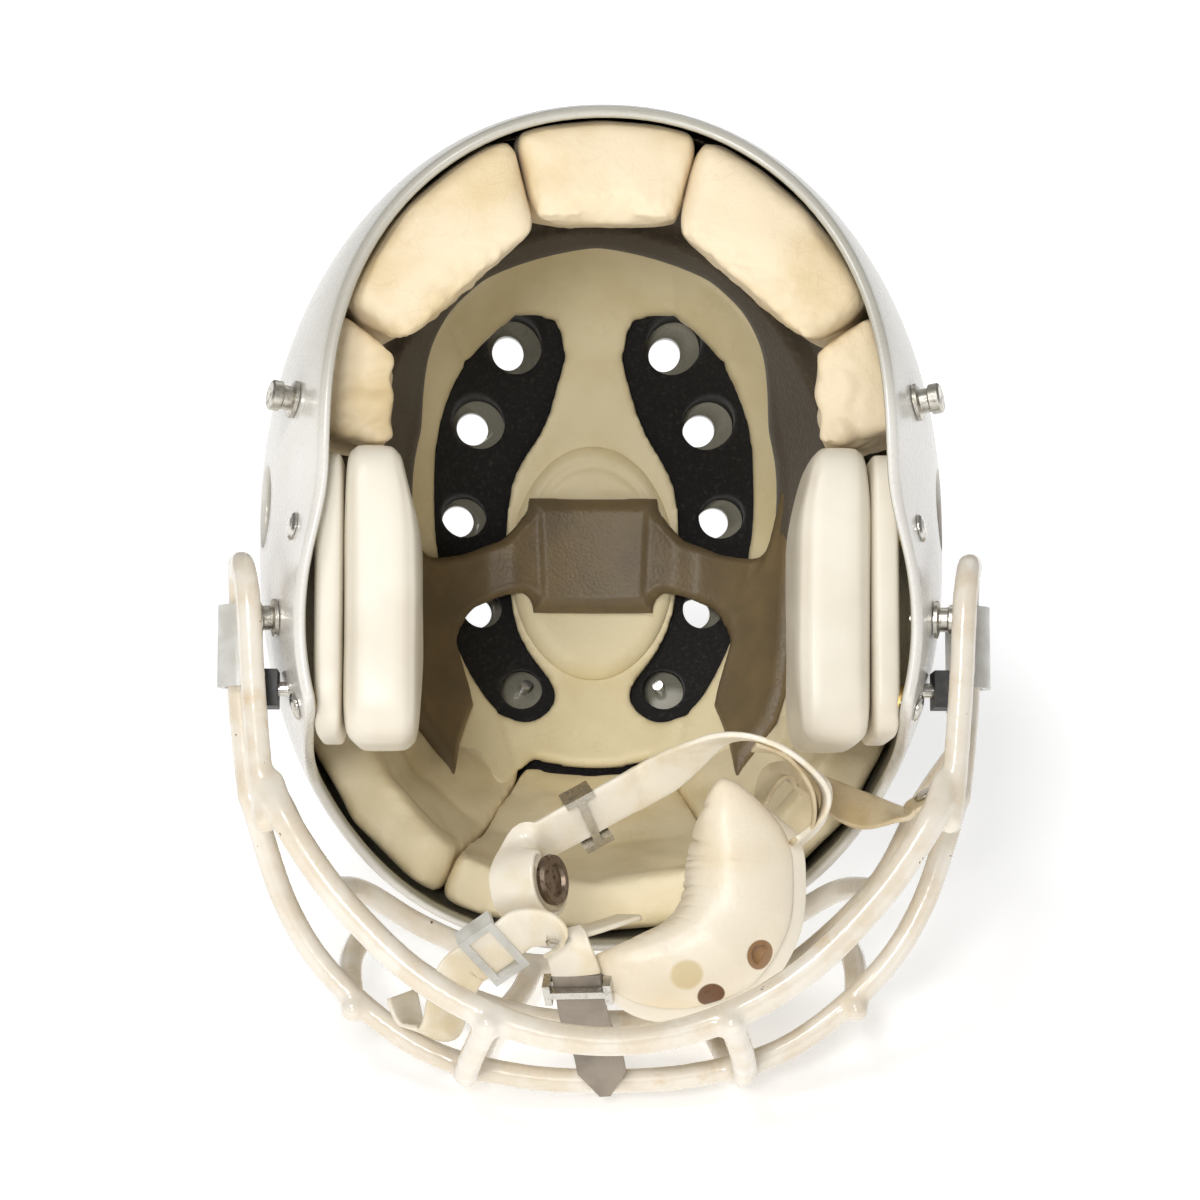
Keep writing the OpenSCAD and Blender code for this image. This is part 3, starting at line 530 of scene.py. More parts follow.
# %% Waves and pushes
def wave(p, size, seed, terms=9):
    """Smooth noise: a sum of sines in random directions, with wavelengths near size mm."""
    pick = np.random.default_rng(seed)
    k = pick.normal(size=(terms, 3))
    k = 2 * np.pi * unit(k) / (size * pick.uniform(0.6, 1.6, (terms, 1)))
    return np.sin(p @ k.T + pick.uniform(0, 6.28, terms)).sum(-1) / math.sqrt(terms)


def head_arrays(piece):
    """Every point and normal of a piece as arrays: row-frame metres, head-frame mm, head normals."""
    count = len(piece.data.vertices)
    place, normal = np.empty(count * 3), np.empty(count * 3)
    piece.data.vertices.foreach_get("co", place)
    piece.data.vertices.foreach_get("normal", normal)
    place, normal = place.reshape(-1, 3), normal.reshape(-1, 3)
    return place, normal, (place * 1000 - REST) @ TURN, normal @ TURN


def push(piece, amount):
    """Moves each point along its normal by amount(points in head-frame mm, normals), in mm."""
    place, normal, head, turned_normal = head_arrays(piece)
    place += normal * amount(head, turned_normal)[:, None] / 1000
    piece.data.vertices.foreach_set("co", place.ravel())
    piece.data.update()
    return piece


# %% [markdown]
# Wires and straps follow a smooth curve through a few given points. A tube is a row of rings
# along such a curve, and a plain cylinder serves as a drill.

# %% Curves and tubes
def smooth_path(points, steps):
    """Catmull-Rom curve through the points, steps points to each stretch."""
    p = np.asarray(points, float)
    a = np.concatenate([p[:1], p[:-1]])[:len(p) - 1, None]
    b, c = p[:-1, None], p[1:, None]
    d = np.concatenate([p[2:], p[-1:]])[:, None]
    t = (np.arange(steps) / steps)[None, :, None]
    q = 0.5 * (2 * b + (c - a) * t + (2 * a - 5 * b + 4 * c - d) * t ** 2 + (3 * b - a - 3 * c + d) * t ** 3)
    return np.concatenate([q.reshape(-1, p.shape[1]), p[-1:]])


def tangents(path):
    """Unit direction of travel at each point of a path."""
    return unit(np.gradient(path, axis=0))


def tube_grid(path, radius, sides=20, caps=5):
    """A tube along a path with round ends: each ring is centre + radius (cos u S + sin u T),
    where S starts square to the path and is carried along it. The end rings close like domes."""
    t = tangents(path)
    across = np.empty_like(path)
    across[0] = unit(np.cross(t[0], [0.31, 0.2, 0.93]))
    for i in range(1, len(path)):
        across[i] = unit(across[i - 1] - t[i] * np.dot(across[i - 1], t[i]))
    side = unit(across - t * np.sum(across * t, -1, keepdims=True))
    rise = np.cross(t, side)
    dome = np.radians(np.linspace(90, 0, caps, endpoint=False))
    reach, small = (np.sin(dome) * radius)[:, None], np.cos(dome) * radius
    centre = np.concatenate([path[0] - t[0] * reach, path, (path[-1] + t[-1] * reach)[::-1]])
    size = np.concatenate([small, np.full(len(path), radius), small[::-1]])[:, None, None]
    pad = lambda v: np.concatenate([np.repeat(v[:1], caps, 0), v, np.repeat(v[-1:], caps, 0)])[:, None]
    u = np.linspace(0, 2 * np.pi, sides, endpoint=False)[None, :, None]
    return centre[:, None] + size * (np.cos(u) * pad(side) + np.sin(u) * pad(rise))


def drill(low, high, radius, sides=40):
    """A closed cylinder between two points, as an object to cut with."""
    low, high = np.asarray(low, float), np.asarray(high, float)
    axis = unit(high - low)
    side = unit(np.cross(axis, [0.3, 0.9, 0.2]))
    rise = np.cross(axis, side)
    u = np.linspace(0, 2 * np.pi, sides, endpoint=False)[:, None]
    ring = radius * (np.cos(u) * side + np.sin(u) * rise)
    rings = np.stack([low + 0 * ring, low + ring, high + ring, high + 0 * ring])
    return grid_piece("Drill", rings, polycarbonate)


# %% [markdown]
# The shell is one closed sheet: from the crown down the outside, round the rim in a half
# circle, and back up the inside. Ear and vent holes are drilled through it.

# %% Shell
# x, z and radius of each vent hole in the liner
VENTS = [(30, 85, 10.5), (43.5, 57, 10), (49, 22, 8.5), (42, -13, 7.5), (27, -43.5, 8)]
EAR_RADIUS, VENT_RADIUS = 14, 6
COARSE, FINE = 2.5, 0.75
STRETCHES = [(-180, -140, COARSE), (-140, -104, FINE), (-104, 104, COARSE),
             (104, 140, FINE), (140, 180, COARSE)]
turns = np.concatenate([np.arange(*stretch) for stretch in STRETCHES])


def shell_grid(thick=4.0, rows=44):
    """Rows of depth 0 from the crown to the rim, a half circle round the rim, rows of depth 4 back."""
    edge = row_of(rim_height(turns))
    down = np.linspace(0, 1, rows) ** 0.9
    outside = wall(turns, 1 + (edge - 1) * down[:, None], 0)
    inside = wall(turns, 1 + (edge - 1) * down[::-1, None], thick)
    phi = np.radians(np.linspace(15, 165, 8))[:, None]
    lip = wall(turns, edge - np.sin(phi) * thick / 2 / SKIRT, thick / 2 * (1 - np.cos(phi)))
    return np.concatenate([outside, lip, inside])


shell = grid_piece("Shell", shell_grid(), polycarbonate)
holes = [drill((side * 90, -42, 3), (side * 150, -42, 3), EAR_RADIUS) for side in (-1, 1)]
spots = [(side * x - 2.5, z) for side in (-1, 1) for x, z, _ in VENTS[:4]]
holes += [drill((x, 60, z), (x, 180, z), VENT_RADIUS) for x, z in spots]
cut(shell, *holes)
# Painted shade: the inside of the wall, and a patch low on the outside at the back, get a point attribute
# that paints them greyer.
_, _, head, facing = head_arrays(shell)
inward = -np.sum(facing * unit(head + [0, 20, 0]), -1)
back_shade = 0.65 * ease((-head[:, 1] - 15) / 45) * ease((head[:, 2] - 15) / 40)
painted_shade = np.maximum(ease(inward * 2), back_shade).astype(np.float32)
shell.data.attributes.new("painted_shade", "FLOAT", "POINT").data.foreach_set("value", painted_shade)
dress(shell, "helmet", "shell", "shell")

# %% [markdown]
# The guard is bent wires welded into a cage and then dipped. Each wire is a tube along a
# smooth path; remeshing them together and relaxing the surface leaves the fillets and soft
# ends that a thick coat leaves.

# %% Face guard
CHIN_RADIUS, WIRE_RADIUS = 4.7, 4.1
CHIN = [[-107, -102, -94], [-101, -109, -107], [-84, -111, -131], [-59, -112, -155],
        [-30, -112, -170], [0, -112, -175]]
SECOND = [[-115, -66, -98], [-104, -62, -131], [-88, -60, -155], [-60, -60, -177],
          [-30, -60, -186], [0, -60, -188]]
UPPER = [[-116, -54, -82], [-108, -30, -96], [-93, -20, -124], [-62, -18, -152],
         [-30, -17, -166], [0, -17, -169]]
BROW = [[-92, -18, -124], [-82, 8, -124], [-60, 20, -136.5], [-30, 22, -148], [0, 22, -149.5]]
LOOP = [[108, -104, -106], [110, -102, -92], [113, -98, -62], [115, -94, -36], [117, -88, -25],
        [119, -78, -21], [120, -66, -24], [120, -62.5, -31], [120, -62, -40], [120, -62, -62],
        [116, -66, -96]]
INNER_POST = [[38, -115, -170], [43, -90, -180], [45, -60, -186], [42, -36, -182],
              [37, -15, -171], [27, 6, -158.5], [23, 21, -149.5]]
OUTER_POST = [[80, -14, -138], [84, -36, -149], [82, -62, -165]]
FLIP = np.array([-1, 1, 1])


def both_halves(half):
    """A path across the face: the left half, then the same points mirrored."""
    half = np.array(half, float)
    return np.concatenate([half, (half * FLIP)[-2::-1]])


def wire(points, radius):
    """A smooth tube as an object, with ten rings to each stretch."""
    return grid_piece("Wire", tube_grid(smooth_path(points, 10), radius), plastisol)


def join(pieces, name):
    """Joins mesh objects that share one material into the first."""
    work = bmesh.new()
    for piece in pieces:
        work.from_mesh(piece.data)
    work.to_mesh(pieces[0].data)
    work.free()
    for piece in pieces[1:]:
        bpy.data.objects.remove(piece)
    pieces[0].name = name
    return pieces[0]


wires = [wire(both_halves(CHIN), CHIN_RADIUS)]
wires += [wire(both_halves(bar), WIRE_RADIUS) for bar in (SECOND, UPPER, BROW)]
for turned in (np.array([1, 1, 1]), FLIP):
    wires += [wire(path * turned, WIRE_RADIUS) for path in (LOOP, INNER_POST, OUTER_POST)]
guard = soften(join(wires, "Face_Guard"), 1.15, 5)
GUARD_NODES = ["chin_bar", "second_bar", "upper_bar", "brow_bar",
               "loop_left", "loop_right", "inner_posts", "outer_posts"]
dress(guard, "helmet", "guard", *["guard_" + name for name in GUARD_NODES])

# %% [markdown]
# The liner is a stack of bowls that follow the wall at their own depths. Each one is made like
# the shell: down its outside, round its lip, and back up its inside.

# %% Bowls of the liner
even_turns = np.arange(-180, 180, 2.5)


def bowl_grid(edge, outer, inner, rows=36):
    """Rows at depth outer from the crown to the edge, a half ellipse round the lip, and rows at
    depth inner back up. edge gives the lip's row in each direction."""
    e = edge(even_turns)
    down = np.linspace(0, 1, rows)[:, None] ** 0.9
    half = (inner - outer) / 2
    phi = np.radians(np.linspace(12, 168, 8))[:, None]
    s = np.concatenate([1 + (e - 1) * down, e - np.sin(phi) * half / 200, 1 + (e - 1) * down[::-1]])
    level = lambda depth: np.full((rows, 1), depth)
    d = np.concatenate([level(outer), outer + half * (1 - np.cos(phi)), level(inner)])
    return wall(even_turns, s, d)


def liner_edge(a):
    """How low the liner reaches: lowest over the neck, highest over the forehead."""
    b = np.abs(a)
    return 0.24 + 0.1 * ease(b / 60) + 0.31 * ease((b - 100) / 55)


FOAM_OUT, FOAM_IN, CREAM_OUT, CREAM_IN = 5.6, 19.6, 20.0, 25.0
scallop = lambda a: 0.012 * np.cos(np.radians(a) * 26) * (np.abs(a) < 75)
foam_bowl = bowl_grid(lambda a: liner_edge(a) + scallop(a), FOAM_OUT, FOAM_IN)
liner_foam = grid_piece("Liner_Foam", foam_bowl, black_foam)
vents = [(side * x, z, r) for side in (-1, 1) for x, z, r in VENTS]
cut(liner_foam, *[drill((x, 40, z), (x, 160, z), r) for x, z, r in vents])
dress(liner_foam, "helmet", "black_foam", "foam_liner")

# %% [markdown]
# The cream crown pad is one skin over the foam with two kidney windows. The windows are cut
# with prisms that stand on their outline, then the sheet is remeshed and relaxed, so that its
# edges are as round as dipped foam.

# %% Crown pad
KIDNEY = [[11, 80], [15, 92], [31, 92], [50, 73], [59, 46], [59, 10], [52, -26], [39, -50], [24, -57],
          [14, -45], [30, -18], [32, 28], [18, 58], [11, 80]]


def prism(outline, low, high):
    """A closed prism along Y that stands on an outline in the plan."""
    shrink = lambda v, k: v * k + v.mean() * (1 - k)
    x, z = outline.T
    layers = [np.stack([shrink(x, k), np.full(len(x), y), shrink(z, k)], -1)
              for y, k in ((low, 0), (low, 1), (high, 1), (high, 0))]
    return grid_piece("Prism", np.stack(layers), polycarbonate)


def crown_edge(a):
    """The skin's edge: it overhangs the foam a little, and over the forehead it hangs further
    down, over the brow pads, except at a short slot in the middle."""
    b = np.abs(a)
    return liner_edge(a) - 0.02 - 0.13 * ease((b - 112) / 12) * (1 - ease((b - 158) / 4))


kidney = smooth_path(KIDNEY, 6)[:-1]
crown_pad = grid_piece("Crown_Pad", bowl_grid(crown_edge, CREAM_OUT, CREAM_IN), crown_vinyl)
cut(crown_pad, *[prism(kidney * [side, 1], 20, 140) for side in (1, -1)])
soften(crown_pad, 1.9, 4)
DARTS = [[(27, 110), (30, 90)], [(19, 110), (15, 92)], [(35, -53), (27, -78)], [(52, 84), (47, 74)]]


def darts(p, n):
    """Sewn creases: a groove 0.9 mm deep along each short line in the plan."""
    groove = np.zeros(len(p))
    for start, end in DARTS:
        run = np.subtract(end, start)
        at = np.stack([np.abs(p[:, 0]), p[:, 2]], -1) - start
        t = np.clip(at @ run / (run @ run), 0, 1)
        groove = np.maximum(groove, np.exp(-(np.linalg.norm(at - t[:, None] * run, axis=1) / 1.3) ** 2))
    return 0.25 * wave(p, 34, 61) - 0.9 * groove


dress(push(crown_pad, darts), "helmet", "cream_pad", "crown_pad")

# %% [markdown]
# An oval pad is sewn over the middle of the crown. Its face swells, and it is pressed down
# along a stitched line near its edge and along a chord towards the back.

# %% Oval crown pad
DISC_WIDE, DISC_LONG = 31.5, 45.0


def disc_grid(rows=30, columns=96):
    """Polar grid over the oval: depth is the pad's level plus a rounded swell, which dips to a
    stitched groove near the edge and to a second one straight across."""
    phi = np.linspace(0, 2 * np.pi, columns, endpoint=False)
    t = np.linspace(0, 1, rows)[:, None]
    x, z = DISC_WIDE * t * np.sin(phi), 4 + DISC_LONG * t * np.cos(phi)
    stitched = 1.3 * ease((z + 12) / 24) * np.exp(-((t - 0.86) / 0.035) ** 2)
    chord = 0.8 * np.exp(-((z - 31 + 0.06 * x) / 1.3) ** 2) * (t < 0.84)
    face = 25.8 + 3.8 * (1 - t ** 14) - (stitched + chord)
    return np.concatenate([on_plan(x, z, face), on_plan(x, z, 25.3)[::-1]])


disc = dress(grid_piece("Oval_Crown_Pad", disc_grid(), crown_vinyl), "helmet", "cream_pad", "crown_disc")

# %% [markdown]
# The band's outline is drawn on the plan. It has a block with a raised panel, two arms and two
# legs, and every edge is rounded by the relax pass, as moulded edges are.

# %% Liner band
BLOCK = [[-27, 31], [27, 31], [25, -17.5], [-25, -17.5]]
PANEL = [[-23, 27], [23, 27], [21.5, -13], [-21.5, -13]]
ARM = [[18, 24], [29, 22], [37.5, 13.5], [50, 7.5], [66, 3], [60, -20], [52, -21], [46, -15.5],
       [37.5, -11.5], [29, -9], [18, -10]]
LEG = [[66, 3], [52, -21], [52.5, -29], [50, -37], [47, -47], [45.5, -54], [48, -61],
       [50.5, -70], [52.5, -86], [60.5, -74], [69, -62], [73, -50], [75.5, -34], [77, -14],
       [79, 10], [79, 30], [76, 60], [68, 82], [64, 82], [69, 60], [72, 33]]
BAND_THICK, BAND_EDGE = 4.5, 2.6


def inside(outline, x, z):
    """Signed distance to a polygon: positive inside. The nearest edge gives the distance and the
    number of edges crossed by a ray gives the sign."""
    p = np.asarray(outline, float)
    q = np.roll(p, -1, 0)
    e = q - p
    w = np.stack([x, z], -1)[..., None, :] - p
    t = np.clip(np.sum(w * e, -1) / np.sum(e * e, -1), 0, 1)
    far = np.linalg.norm(w - e * t[..., None], axis=-1).min(-1)
    up = (p[:, 1] <= z[..., None]) != (q[:, 1] <= z[..., None])
    lean = e[:, 0] / np.where(e[:, 1] == 0, 1e-9, e[:, 1])
    cross = up & (x[..., None] < p[:, 0] + (z[..., None] - p[:, 1]) * lean)
    return np.where(cross.sum(-1) % 2 == 1, far, -far)


def band_distance(x, z):
    """Distance inside the band's whole outline, with the corners where parts meet rounded."""
    x = np.abs(x)
    parts = np.stack([inside(BLOCK, x, z), inside(ARM, x, z), inside(LEG, x, z)])
    return 3 * np.log(np.exp(np.clip(parts, -40, 40) / 3).sum(0))


def band_step(x, z):
    """Extra depth where the band climbs over the oval pad."""
    return 4.2 * (1 - ease((np.hypot(x / DISC_WIDE, (z - 4) / DISC_LONG) - 1.05) / 0.35))


def band_piece():
    """A field on a plan grid of 1 mm: cells that touch the outline get a front and a back sheet.
    Points outside it slide along the field's slope onto the outline, and the front thins
    towards the edge like a quarter circle, so the two sheets meet in a soft edge. A low bead
    follows the edge."""
    xs, zs = np.meshgrid(np.arange(-84, 84.1), np.arange(-92, 92.1), indexing="ij")
    room = band_distance(xs, zs) - 1.2
    keep = room > 0
    cell = keep[:-1, :-1] | keep[1:, :-1] | keep[1:, 1:] | keep[:-1, 1:]
    slope = np.stack(np.gradient(room), -1)
    slope /= np.maximum(np.linalg.norm(slope, axis=-1, keepdims=True), 0.3)
    shift = np.minimum(room, 0)[..., None] * slope
    shift = np.where(np.abs(shift) < 3, shift, 0)
    xs, zs = xs - shift[..., 0], zs - shift[..., 1]
    room = np.maximum(room, 0)
    thick = BAND_THICK * np.sqrt(1 - (1 - np.clip(room / BAND_EDGE, 0.15, 1)) ** 2)
    thick = thick * (1 - 0.8 * ease((zs - 26) / 16) * (np.abs(xs) > 45))
    raised = 1.7 * ease(inside(PANEL, xs, zs) / BAND_EDGE + 0.4)
    bead = 0.5 * np.exp(-((room - 2.2) / 0.9) ** 2) * (zs < 40)
    thick = thick + raised + bead
    level = CREAM_IN + 0.9 + band_step(xs, zs)
    front, back = on_plan(xs, zs, level + thick), on_plan(xs, zs, level)
    n = xs.shape[1]
    i, j = np.nonzero(cell)
    quad = np.stack([i * n + j, (i + 1) * n + j, (i + 1) * n + j + 1, i * n + j + 1], -1)
    offset = xs.size
    edges = np.concatenate([quad[:, [k, (k + 1) % 4]] for k in range(4)])
    key = np.sort(edges, 1)
    _, first, count = np.unique(key[:, 0] * offset + key[:, 1], return_index=True, return_counts=True)
    border = edges[first[count == 1]]
    start, end = border.T
    walls = np.stack([end, start, start + offset, end + offset], -1)
    faces = np.concatenate([quad, quad[:, ::-1] + offset, walls])
    used = np.unique(faces)
    new = np.zeros(2 * offset, int)
    new[used] = np.arange(len(used))
    points = np.concatenate([front.reshape(-1, 3), back.reshape(-1, 3)])[used]
    return mesh_piece("Liner_Band", points, new[faces], taupe)


dress(relax(band_piece(), 2), "helmet", "band", "liner_band")

# %% [markdown]
# Each cushion starts as a rounded block on the wall. A short cloth simulation with pressure
# inside then swells it, so that its faces crown and its sides pull in between the corners.
# Its folds are waves added along its pinched edges.

# %% Rounded blocks on the wall
def rounded(m=26, n=56, power=0.14):
    """Superquadric: u, v, w = c(h) c(t), c(h) s(t), s(h), where c and s are the cosine and sine
    with their size raised to a power; a low power gives a box with round edges."""
    h = np.linspace(-np.pi / 2, np.pi / 2, m)[:, None]
    t = np.linspace(-np.pi, np.pi, n, endpoint=False)[None]
    ring = soft(np.cos(h), power)
    return ring * soft(np.cos(t), power), ring * soft(np.sin(t), power), soft(np.sin(h), power) + 0 * t


def cushion_grid(a0, a1, s0, s1, outer, inner):
    """A rounded block between two directions, two rows and two depths. The inner depth is a
    quadratic b + c u + d u^2 across the pad, which makes that face flat like a cut block."""
    u, v, w = rounded()
    a = (a0 + a1) / 2 + (a1 - a0) / 2 * u * (1 - 0.02 * (1 - v * v))
    s = (s0 + s1) / 2 + (s1 - s0) / 2 * v * (1 - 0.02 * (1 - u * u))
    deep = inner[0] + inner[1] * u + inner[2] * u * u
    return wall(a, s, (outer + deep) / 2 + (deep - outer) / 2 * w)


def swell(piece, cap, voxel=2.5, pressure=2.5, frames=16):
    """Inflates a closed mesh as cloth with no gravity, keeps each point no more than cap mm from
    where it began, and subdivides once."""
    soften(piece, voxel, 1)
    start = np.empty(len(piece.data.vertices) * 3)
    piece.data.vertices.foreach_get("co", start)
    cloth = piece.modifiers.new("Cloth", "CLOTH")
    cloth.settings.use_pressure = True
    cloth.settings.uniform_pressure_force = pressure
    cloth.settings.effector_weights.gravity = 0
    cloth.settings.quality = 6
    scene = bpy.context.scene
    scene.frame_start, scene.frame_end = 1, frames
    for frame_number in range(1, frames + 1):
        scene.frame_set(frame_number)
    apply_all(piece)
    scene.frame_set(1)
    end = np.empty_like(start)
    piece.data.vertices.foreach_get("co", end)
    move = (end - start).reshape(-1, 3)
    far = np.linalg.norm(move, axis=1, keepdims=True)
    move *= np.minimum(1, cap / 1000 / np.maximum(far, 1e-9))
    piece.data.vertices.foreach_set("co", (start.reshape(-1, 3) + move).ravel())
    finer = piece.modifiers.new("Finer", "SUBSURF")
    finer.levels = finer.render_levels = 1
    apply_all(piece)
    piece.data.polygons.foreach_set("use_smooth", np.ones(len(piece.data.polygons), bool))
    return piece


# %% [markdown]
# Three cushions pad the neck and one more stands at each side. Where they are pinched along
# the inner edge, the skin gathers in short folds.

# %% Neck and side cushions
def folds(seed, size, depth, reach):
    """Short folds: waves of the given size, strongest reach mm from the helmet's inside."""
    def amount(p, normal):
        inward = np.hypot(p[:, 0], p[:, 2])
        edge = np.percentile(inward, 4)
        near = np.exp(-((inward - edge) / reach) ** 2)
        return depth * (near * (np.abs(wave(p, size, seed)) - 0.8) + 0.35 * wave(p, 2.6 * size, seed + 1))
    return amount


PADS = [("Neck_Pad_Center", "back_pad_center", -14.1, 14.1, -0.77, -0.2, 5.6, (39.5, 0, -4), 3),
        ("Neck_Pad_Left", "back_pad_left", -52.8, -14.3, -0.79, -0.2, 6.2, (38.5, 5, -5.5), 5),
        ("Neck_Pad_Right", "back_pad_right", 14.3, 52.8, -0.79, -0.2, 6.2, (38.5, -5, -5.5), 7),
        ("Side_Pad_Left", "side_pad_left", -76, -54, -0.72, -0.25, 6.6, (32.5, -3, -1), 9),
        ("Side_Pad_Right", "side_pad_right", 54, 76, -0.72, -0.25, 6.6, (32.5, 3, -1), 11)]
for name, node, a0, a1, s0, s1, outer, inner, seed in PADS:
    pad = grid_piece(name, cushion_grid(a0, a1, s0, s1, outer, inner), neck_vinyl)
    side = name.startswith("Side")
    push(swell(pad, 1.4), folds(seed, 14 if side else 7, 1.1 if side else 0.45, 14 if side else 8))
    dress(pad, "helmet", "cream_pad", node)

# %% [markdown]
# Behind the neck cushions lies a sheet of brown foam. Its upper end is thick and reaches up to
# the crown liner, and its edge is cut in scallops. A ring of the same foam runs on round the
# crown's edge.

# %% Neck foam
def neck_foam_grid():
    """Rows run round the neck; columns run round a closed profile of row and depth."""
    profile = np.array([[-0.7, 6.4], [-0.7, 7.0], [-0.45, 7.1], [-0.2, 7.1], [-0.17, 9],
                        [-0.165, 22.5], [-0.15, 24], [0, 24], [0.17, 24], [0.19, 23],
                        [0.2, 20], [0.2, 7], [0.19, 6.2], [0, 6.2], [-0.4, 6.2]])
    a = np.linspace(-60, 60, 81)[:, None]
    scallops = 0.022 * np.abs(np.sin(np.radians(a * 9))) * (profile[:, 0] > 0.15)
    return close_ends(wall(a, profile[:, 0] - scallops, profile[:, 1]))


def ring_edge(a):
    """The row of the brown foam's upper edge: level over the neck, then rising to the arms of
    the band, with torn scallops."""
    b = np.abs(a)
    torn = 0.014 * np.abs(np.sin(np.radians(a * 8))) * ease((42 - b) / 10)
    return 0.225 + 0.2 * ease((b - 29) / 26) + 0.1 * ease((b - 45) / 50) + torn


def ring_grid():
    """Rows run round the crown's edge; columns run round a closed profile that is thin at the
    upper edge and thick below it."""
    a = np.linspace(-106, 106, 141)[:, None]
    top = ring_edge(a)
    step = np.array([[0, 0, 0, 0.018, 0.05, 0.09, 1, 1, 1, 0.05]])
    s = np.where(step < 1, top - step, 0.1)  # a step of 1 marks the ring's lower end
    sunk = 31 - 6.5 * ease((np.abs(a) - 80) / 18)
    return close_ends(wall(a, s, np.minimum([[22, 25, 26.6, 28.6, 30.4, 31, 31, 25, 22, 22]], sunk)))


foams = [grid_piece("Neck_Foam", grid, neck_foam_finish) for grid in (neck_foam_grid(), ring_grid())]
neck_foam = join(foams, "Neck_Foam")
soften(neck_foam, 1.7, 2)
dress(neck_foam, "helmet", "dark_foam", "neck_foam")

# %% [markdown]
# Three pads line the forehead. They share thin seams, follow the brow edge below and reach up
# under the crown liner.

# %% Brow cushions
def brow_grid(side, inner, top, outer=6):
    """A rounded block whose lower row follows the brow edge and whose upper row is given. The
    two seams lean: each lies at 158 + 2.5 v degrees, with v from -1 at the brow to 1 above."""
    u, v, w = rounded()
    seam = 158 + 2.5 * v
    if side == 0:
        a = 180 + (180.1 - seam) * u
    else:
        a = side * ((seam + 122) / 2 + (seam - 122) / 2 * u)
    a = np.where(a > 180, a - 360, a)
    low = np.maximum(0.02, row_of(rim_height(a)))
    high = top(a)
    s = (low + high) / 2 + (high - low) / 2 * v
    return wall(a, s, (outer + inner) / 2 + (inner - outer) / 2 * w)


FRONTS = [("Brow_Pad", "brow_pad", 0, 24, lambda a: 0.6 + 0 * a, 21),
          ("Brow_Pad_Right", "front_pad_right", 1, 24.2, lambda a: liner_edge(a) - 0.05, 23),
          ("Brow_Pad_Left", "front_pad_left", -1, 24.2, lambda a: liner_edge(a) - 0.05, 25)]
for name, node, side, inner, top, seed in FRONTS:
    pad = grid_piece(name, brow_grid(side, inner, top), brow_vinyl)
    push(swell(pad, 0.9), lambda p, n, seed=seed: 0.3 * wave(p, 26, seed))
    dress(pad, "helmet", "cream_pad", node)

# %% [markdown]
# The jaw pads are smooth moulded blocks with a soft crown. Each is pushed onto a thinner and
# slightly smaller base, which fills the room up to the flap.

# %% Jaw pads and their bases
JAW_Y, JAW_Z = -70, -32


def block_grid(centre, half, corner=0.28, edge=0.3, m=30, n=72):
    """A block with round corners in Y and Z and a softer edge along X: half sizes in mm."""
    h = np.linspace(-np.pi / 2, np.pi / 2, m)[:, None]
    t = np.linspace(-np.pi, np.pi, n, endpoint=False)[None]
    ring = soft(np.cos(h), edge)
    x = half[0] * soft(np.sin(h), edge) + 0 * t
    y, z = half[1] * ring * soft(np.sin(t), corner), half[2] * ring * soft(np.cos(t), corner)
    return np.array(centre) + np.stack([x, y, z], -1)


for side, name, body in ((-1, "Left", "left_jaw_pad"), (1, "Right", "right_jaw_pad")):
    block = block_grid((side * 72.6, JAW_Y, JAW_Z), (12.2, 29.6, 48.6))
    inner = np.clip((84.8 - np.abs(block[..., 0])) / 24.4, 0, 1)
    block[..., 0] += side * 5 * ease((block[..., 2] + 16) / 34) * inner
    pad = grid_piece("Jaw_Pad_" + name, block, jaw_vinyl)
    shoulder = lambda n: np.abs(np.abs(n[:, 0]) - 0.6) < 0.25
    push(pad, lambda p, n, s=side: 0.35 * wave(p, 45, 31 + s) - 0.5 * shoulder(n))
    dress(relax(pad, 4), body, "jaw_skin", "jaw_pad_" + name.lower())
    block = block_grid((side * 89.6, JAW_Y, JAW_Z), (4.8, 27.2, 46.2))
    base = grid_piece("Jaw_Base_" + name, block, jaw_vinyl)
    bosses = [wall(side * a, -0.83, 0) for a in (96, 121)]
    stems = [drill((side * 88, y + 4, z), (side * (abs(x) - 8.6), y + 4, z), 5) for x, y, z in bosses]
    dress(cut(base, *stems, operation="UNION"), "helmet", "jaw_plate", "jaw_base_" + name.lower())

# %% [markdown]
# The chin cup bends like a banana. A hard skin carries a fat pad, whose vinyl is gathered in
# short pleats along the inner rim and pierced by two vent holes.

# %% Chin cup
CUP_IN = smooth_path([[38, -71, -101], [31, -69.5, -107], [29, -68, -119], [25.5, -69, -134],
                      [16, -71, -145], [2, -73, -151], [-15, -75, -155]], 26)
CUP_OUT = smooth_path([[54, -83, -100], [59.5, -86, -108], [61, -88, -121], [58.5, -90, -141],
                       [47, -92, -158], [29, -92, -167], [8, -92, -170]], 26)
cup_run = tangents(CUP_IN)
cup_up = unit(np.cross(cup_run, CUP_OUT - CUP_IN))
cup_up *= -np.sign(cup_up[:, 1:2])


def cup_grid(v, lift):
    """Closed sections across the cup: v runs from the inner rim (0) to the outer rim (1), lift
    is the height over the cup's own arch 4 rise v (1 - v). Both may differ from row to row."""
    u = np.linspace(0, 10, len(CUP_IN))[:, None]
    e = 1 - 0.25 * np.abs(u / 5 - 1) ** 3
    v, lift = np.broadcast_arrays(v, lift)
    across = (CUP_OUT - CUP_IN)[:, None] * (0.5 + (v - 0.5) * e)[..., None]
    rise = cup_up[:, None] * (13 * e * 4 * v * (1 - v) + lift)[..., None]
    return close_ends(CUP_IN[:, None] + across + rise)


